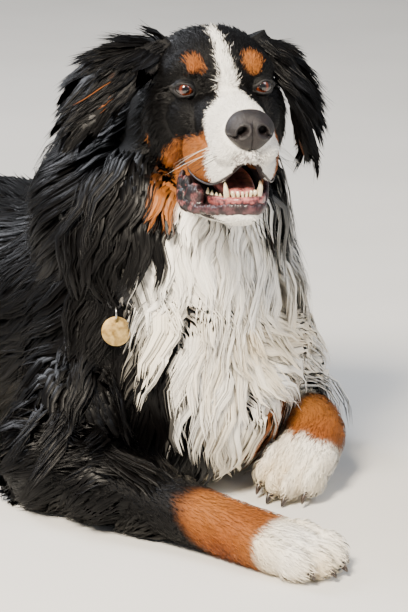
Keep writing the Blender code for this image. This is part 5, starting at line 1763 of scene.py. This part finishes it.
class Dog:
    """The whole dog: skin, coat, eyes, nose, mouth, claws, whiskers, collar and tag."""

    def __init__(self) -> None:
        """Make the parts that others need."""
        self.markings = Markings()
        self.mouth = Mouth()
        self.eyes = Eyes()

    def bare_face(self, middles: np.ndarray) -> np.ndarray:
        """Say which places of the head are bare: nose, eyes, lips and the inside of the mouth."""
        p = head_local(middles)
        nose = np.linalg.norm((p - np.array(NOSE_PLACE)) / (np.array(NOSE_SIZE) * (1.0, 1.25, 0.98)), axis=1) < 1.0
        inside = self.skin.triangle_parts == 3
        lip = near_line(p, [row[:3] for row in self.mouth.lower_lip]) < 0.6
        return nose | inside | lip | (eye_gap(p) < 1.36)

    def coats(self) -> list[Coat]:
        """List the regions of the coat."""
        bare = self.bare_face(self.skin.middles)

        def face(p: np.ndarray, part: np.ndarray) -> np.ndarray:
            local = head_local(p)
            return (part == 1) * ~bare * (local[:, 1] < 10.5) * (1.0 + 0.5 * (local[:, 1] < 1.0))

        def face_reach(p: np.ndarray) -> np.ndarray:
            local = head_local(p)
            back = ramp(local[:, 1], -5.0, 5.0)
            short = ramp(eye_gap(local), 3.2, 1.5)
            nose = ramp(local[:, 1], -6.0, -10.0)
            return (0.0070 + 0.0050 * back - 0.002 * nose) * (1 - 0.45 * short)

        def cheek(p: np.ndarray, part: np.ndarray) -> np.ndarray:
            x, y, z = head_local(p).T
            return (part == 1) * ~bare * (y > 1.5) * (np.abs(x) > 4.3) * (z < 0.5) * ramp(y, 1.5, 4.0)

        def crown(p: np.ndarray, part: np.ndarray) -> np.ndarray:
            _, y, z = head_local(p).T
            return (part == 1) * (y > 5.5) * (z > -1.0)

        def ear(p: np.ndarray, part: np.ndarray) -> np.ndarray:
            return (part == 2) * 1.0

        def chest(p: np.ndarray, part: np.ndarray) -> np.ndarray:
            return (part == 0) * ~forelimb(p) * (p[:, 1] < -0.245) * (p[:, 2] < 0.40)

        def neck(p: np.ndarray, part: np.ndarray) -> np.ndarray:
            return (part == 0) * (p[:, 1] >= -0.255) * (p[:, 2] > 0.255) * (p[:, 1] < -0.06)

        def trunk(p: np.ndarray, part: np.ndarray) -> np.ndarray:
            thick = (p[:, 1] > -0.255) & (p[:, 1] < 0.385) & (p[:, 2] < 0.27) & (p[:, 2] > 0.012)
            thick |= (p[:, 1] >= -0.06) & (p[:, 2] >= 0.255)
            return (part == 0) * thick * ~forelimb(p) * ~hind_foot(p) * (1.0 + 0.3 * (p[:, 0] < 0))

        def tail(p: np.ndarray, part: np.ndarray) -> np.ndarray:
            return (part == 0) * (p[:, 1] > 0.375) * (p[:, 2] > 0.006)

        def leg(p: np.ndarray, part: np.ndarray) -> np.ndarray:
            return (part == 0) * forelimb(p) * (p[:, 2] > 0.003)

        def feather(p: np.ndarray, part: np.ndarray) -> np.ndarray:
            return (part == 0) * (near_line(p, (RIGHT_ELBOW, RIGHT_WRIST)) < 0.06) * (p[:, 1] > -0.42) * (p[:, 2] < 0.12) \
                + (part == 0) * (near_line(p, (LEFT_ELBOW, LEFT_WRIST)) < 0.06) * (p[:, 1] > -0.28) * (p[:, 2] < 0.08)

        def foot(p: np.ndarray, part: np.ndarray) -> np.ndarray:
            return (part == 0) * hind_foot(p) * (p[:, 2] > 0.003)

        def same(low: float, high: float) -> Callable[[np.ndarray], np.ndarray]:
            return lambda p: low + (high - low) * (0.5 + 0.5 * self.markings.noise(p, 0.08, 11))

        def longer(low: float, high: float) -> Callable[[np.ndarray], np.ndarray]:
            def reach(p: np.ndarray) -> np.ndarray:
                local = head_local(p)
                jaw = ramp(local[:, 2], -15.0, -12.5) * ramp(local[:, 1], 8.0, 5.0) * ramp(np.abs(local[:, 0]), 9.5, 8.0)
                return same(low, high)(p) * (1 - 0.6 * jaw)
            return reach

        return [
            Coat("coat_face", 30000, 2, 0.0007, face_reach, LIE.face, face, (0.0011, 0.0007), seed=11),
            Coat("coat_cheeks", 3500, 3, 0.0011, same(0.016, 0.026), LIE.cheek, cheek, (0.002, 0.003),
                 guides=220, clump=0.45, wave=0.001, stray=0.0015, locks=0.2, seed=12),
            Coat("coat_crown", 2500, 3, 0.0011, same(0.018, 0.026), LIE.face, crown, (0.0015, 0.003),
                 guides=200, clump=0.4, wave=0.001, stray=0.0012, locks=0.2, seed=13),
            Coat("coat_ears", 6500, 4, 0.0013, same(0.030, 0.048), LIE.ear, ear, (0.001, 0.004),
                 guides=200, clump=0.55, wave=0.002, turns=1.0, stray=0.0025, locks=0.3, settles=False, seed=14),
            Coat("coat_bib", 9500, 6, 0.0014, longer(0.070, 0.100), LIE.bib, chest, (0.008, 0.018),
                 guides=280, clump=0.5, wave=0.0055, turns=1.2, stray=0.0022, locks=0.42, seed=15),
            Coat("coat_neck", 8500, 4, 0.0015, longer(0.070, 0.100), LIE.neck, neck, (0.008, 0.018),
                 guides=280, clump=0.6, wave=0.004, turns=0.9, stray=0.0025, locks=0.35, seed=16),
            Coat("coat_trunk", 14000, 3, 0.0019, same(0.065, 0.095), LIE.back, trunk, (0.008, 0.017),
                 guides=620, clump=0.62, wave=0.004, turns=0.8, stray=0.003, locks=0.35, seed=17),
            Coat("coat_tail", 4000, 3, 0.0020, same(0.080, 0.115), LIE.tail, tail, (0.006, 0.016),
                 guides=140, clump=0.6, wave=0.005, turns=0.8, stray=0.004, locks=0.3, seed=18),
            Coat("coat_forelegs", 11000, 2, 0.0010, same(0.009, 0.014), LIE.foreleg, leg, (0.0020, 0.0018), seed=19),
            Coat("coat_feathers", 2600, 4, 0.0014, same(0.028, 0.050), LIE.feather, feather, (0.004, 0.010),
                 guides=60, clump=0.6, wave=0.003, stray=0.003, locks=0.3, seed=20),
            Coat("coat_hind_feet", 3000, 2, 0.0014, same(0.010, 0.014), LIE.hind_foot, foot, (0.0020, 0.0014), seed=21),
        ]

    def claws(self) -> None:
        """Make four claws at the front of each paw."""
        clay = Clay()
        for paw in PAWS:
            for place, ahead, _ in paw.toes():
                start = place + ahead * paw.radius * 1.15 - Vector((0, 0, 0.003))
                rows = [(start + ahead * a - Vector((0, 0, b)), r) for a, b, r in (
                    (-0.008, -0.002, 0.0042), (-0.001, 0.0, 0.0040), (0.0035, 0.0025, 0.0031), (0.006, 0.005, 0.0018), (0.0068, 0.0063, 0.0006))]
                clay.limb([(p.x, p.y, max(p.z, r + 0.001), r * 0.8, r, r, 2) for p, r in rows], sides=10, steps=3)
        dressed(clay.flesh("claws"), leather_finish("claw_horn", "16110f", "4a3c33", 1.5, 0.0001, 0.35, coat=0.3))

    def whiskers(self) -> None:
        """Make the long hairs of the muzzle and the chin."""
        rng = np.random.default_rng(31)
        roots, ways, tints = [], [], []
        pale, dark = np.array(linear("e8e2d6")), np.array(linear("1a1718"))
        for side in Side:
            for y, z, tint in ((-9.6, -4.4, pale), (-9.3, -5.2, pale), (-8.8, -4.6, pale), (-8.5, -5.5, dark), (-8.0, -4.9, pale),
                               (-8.2, -6.2, dark), (-9.4, -6.0, dark), (-7.4, -5.6, pale), (-10.2, -5.6, dark)):
                roots.append(sided((3.1, y, z), side))
                ways.append(sided((1.0, 0.15 + rng.uniform(-0.3, 0.3), -0.35 + rng.uniform(-0.3, 0.2)), side))
                tints.append(tint)
            for x, y, z in ((1.2, -8.8, -13.2), (2.0, -8.0, -13.0), (2.6, -7.0, -12.9)):
                roots.append(sided((x, y, z), side))
                ways.append(sided((0.5, -0.6 + rng.uniform(-0.3, 0.3), -0.5), side))
                tints.append(dark)
        places = np.array(roots) @ np.array(HEAD)[:3, :3].T + np.array(HEAD)[:3, 3]
        places, normals = self.skin.nearest(places)
        lie = head_direction(np.array(ways))
        reach = rng.uniform(0.030, 0.055, len(places))[:, None, None]
        steps = np.linspace(0, 1, 6)
        spines = places[:, None] - normals[:, None] * 0.002 + lie[:, None] * reach * steps[None, :, None]
        spines[..., 2] -= 0.010 * steps[None] ** 2
        ahead = unit(np.gradient(spines, axis=1))
        sides = unit(np.cross(normals[:, None] + 0.3, ahead))
        ups = np.cross(ahead, sides)
        widths = 0.00028 * (1 - steps[None] ** 2) * np.ones((len(places), 1)) + 0.00002
        colours = np.repeat(np.array(tints)[:, None], 6, axis=1)
        piece = Blade(5).copies("whiskers", spines, sides, ups, widths, np.ones(len(places)), colours, np.full((len(places), 2), 0.5), rng)
        dressed(piece, self.hair)

    def build(self) -> None:
        """Make every piece of the dog."""
        self.hair = coat_finish()
        self.skin = Skin().build(self.mouth, self.eyes, self.markings)
        self.mouth.build()
        self.eyes.build()
        Nose().build()
        self.claws()
        grower = CoatGrower(self.skin, self.markings, self.hair)
        for coat in self.coats():
            grower.grow(coat)
        self.whiskers()
        Collar().build()


class Collar:
    """The webbing collar, which stays as the solid is, and a finer ring and tag in its place."""

    middle = Vector((-0.016, -0.240, 0.297))
    half = (0.131, 0.143)
    tilt = math.radians(36)
    tag_turn = math.radians(212)
    faces = Vector((-0.50, -0.85, 0.30)).normalized()
    tag_radius = 0.0160
    thick = 0.0018

    def hang(self) -> tuple[Vector, Vector, Vector]:
        """Give where the tag hangs from and the directions across and down it."""
        ray = Vector((math.cos(self.tag_turn), math.sin(self.tag_turn), 0))
        at = Vector((self.half[0] * ray.x, self.half[1] * ray.y, 0)) + ray * 0.004 - Vector((0, 0, 0.0125))
        start = Matrix.Translation(self.middle) @ Matrix.Rotation(self.tilt, 4, "X") @ at
        down = (Vector((0, 0, -1)) + self.faces * self.faces.z).normalized()
        return start, self.faces.cross(down), down

    def ring(self, middle: Vector, axis: Vector, radius: float, wire: float) -> bmesh.types.BMesh:
        """Spin a round wire about an axis.

        Args:
            middle: The middle of the ring.
            axis: The ring's axis.
            radius: The ring's radius.
            wire: The wire's radius.

        Returns:
            The ring.
        """
        bm = bmesh.new()
        out = axis.orthogonal().normalized()
        place = Matrix((out, axis, out.cross(axis))).transposed().to_4x4()
        place.translation = middle + out * radius
        bmesh.ops.create_circle(bm, cap_ends=False, segments=14, radius=wire, matrix=place)
        bmesh.ops.spin(bm, geom=[*bm.verts, *bm.edges], cent=middle, axis=axis, angle=2 * math.pi, steps=48, use_merge=True)
        bmesh.ops.recalc_face_normals(bm, faces=bm.faces)
        return bm

    def build(self) -> None:
        """Dress the webbing and make the split ring and the bare tag."""
        band = frame["nodes"]["collar"]
        band.data.materials.clear()
        band.data.materials.append(webbing_finish())
        start, across, down = self.hang()
        loop, wire, ring_radius = 0.007 + 0.003, 0.0014 + 0.0011 + 0.0004, 0.008
        high = loop - wire
        bm = self.ring(start + down * (high + ring_radius), across, ring_radius, 0.00105)
        mesh = bpy.data.meshes.new("split_ring")
        bm.to_mesh(mesh)
        bm.free()
        dressed(linked("split_ring", mesh), steel_finish(), ("tag_ring",))
        hole = start + down * (high + 2 * ring_radius)
        middle = hole + down * (self.tag_radius - 0.0045)
        place = Matrix((across, down, self.faces)).transposed().to_4x4()
        place.translation = middle
        bm = bmesh.new()
        bmesh.ops.create_cone(bm, cap_ends=True, segments=64, radius1=self.tag_radius, radius2=self.tag_radius,
                              depth=self.thick, matrix=place)
        mesh = bpy.data.meshes.new("bare_tag")
        bm.to_mesh(mesh)
        bm.free()
        tag = linked("bare_tag", mesh)
        cutter = bmesh.new()
        place.translation = hole
        bmesh.ops.create_cone(cutter, cap_ends=True, segments=24, radius1=0.0024, radius2=0.0024,
                              depth=4 * self.thick, matrix=place)
        mesh = bpy.data.meshes.new("Hole")
        cutter.to_mesh(mesh)
        cutter.free()
        combined(tag, [linked("Hole", mesh)], "DIFFERENCE")
        soft = tag.modifiers.new("Worn edge", "BEVEL")
        soft.width = 0.0004
        soft.segments = 3
        soft.angle_limit = math.radians(50)
        baked(tag)
        dressed(tag, brass_finish(), ("tag",))


class Studio:
    """A plain pale floor, soft lights and the camera of the photograph's view."""

    def floor(self) -> None:
        """Make the floor."""
        bm = bmesh.new()
        bmesh.ops.create_grid(bm, x_segments=1, y_segments=1, size=15)
        mesh = bpy.data.meshes.new("floor")
        bm.to_mesh(mesh)
        bm.free()
        floor = linked("floor", mesh)
        material, tree, shader = Finish("pale_floor", 0.8).start()
        place = with_node(tree, "ShaderNodeTexCoord")
        cloud = with_node(tree, "ShaderNodeTexNoise", {"Scale": 3.0}, {"Vector": place.outputs["Object"]})
        colour = ramp_node(tree, cloud.outputs[0], ((0.3, linear("d6d4cf")), (0.7, linear("dcdad5"))))
        tree.links.new(colour, shader.inputs["Base Color"])
        floor.data.materials.append(material)

    def light(self, name: str, place: Sequence[float], size: float, power: float, tint: str) -> None:
        """Add a soft square light that faces the dog.

        Args:
            name: Its name.
            place: Where it is.
            size: Its side in metres.
            power: Its power in watts.
            tint: Its colour.
        """
        lamp = bpy.data.lights.new(name, "AREA")
        lamp.size = size
        lamp.energy = power
        lamp.color = linear(tint)
        obj = bpy.data.objects.new(name, lamp)
        obj.location = place
        obj.rotation_euler = (Vector((-0.05, -0.2, 0.2)) - Vector(place)).to_track_quat("-Z", "Y").to_euler()
        bpy.context.scene.collection.objects.link(obj)

    def camera(self) -> None:
        """Set the camera 3 m away, a long lens at 40 degrees to the dog's right and 15 above."""
        azimuth, elevation, distance = math.radians(-40), math.radians(15), 3.0
        target = Vector((-0.105, -0.416, 0.254))
        back = Vector((math.sin(azimuth) * math.cos(elevation), -math.cos(azimuth) * math.cos(elevation),
                       math.sin(elevation)))
        camera = bpy.data.cameras.new("camera")
        camera.lens = 167
        camera.sensor_width = 36
        obj = bpy.data.objects.new("camera", camera)
        obj.location = target + back * distance
        obj.rotation_euler = back.to_track_quat("Z", "Y").to_euler()
        bpy.context.scene.collection.objects.link(obj)
        bpy.context.scene.camera = obj

    def build(self) -> None:
        """Make floor, world, lights and camera."""
        self.floor()
        world = bpy.data.worlds.new("pale_room")
        world.use_nodes = True
        world.node_tree.nodes["Background"].inputs[0].default_value = (*linear("dfe4ea"), 1)
        world.node_tree.nodes["Background"].inputs[1].default_value = 0.48
        bpy.context.scene.world = world
        self.light("key", (-2.4, -1.6, 3.0), 0.9, 480, "fff2de")
        self.light("fill", (1.0, -2.8, 2.9), 1.6, 60, "eef3ff")
        self.light("rim", (-0.8, 2.6, 2.6), 1.2, 130, "f4f7ff")
        self.camera()


def main() -> None:
    """Build the dog and its studio."""
    logging.basicConfig(level=logging.INFO, format="%(message)s")
    Dog().build()
    Studio().build()


if __name__ == "__main__":
    main()
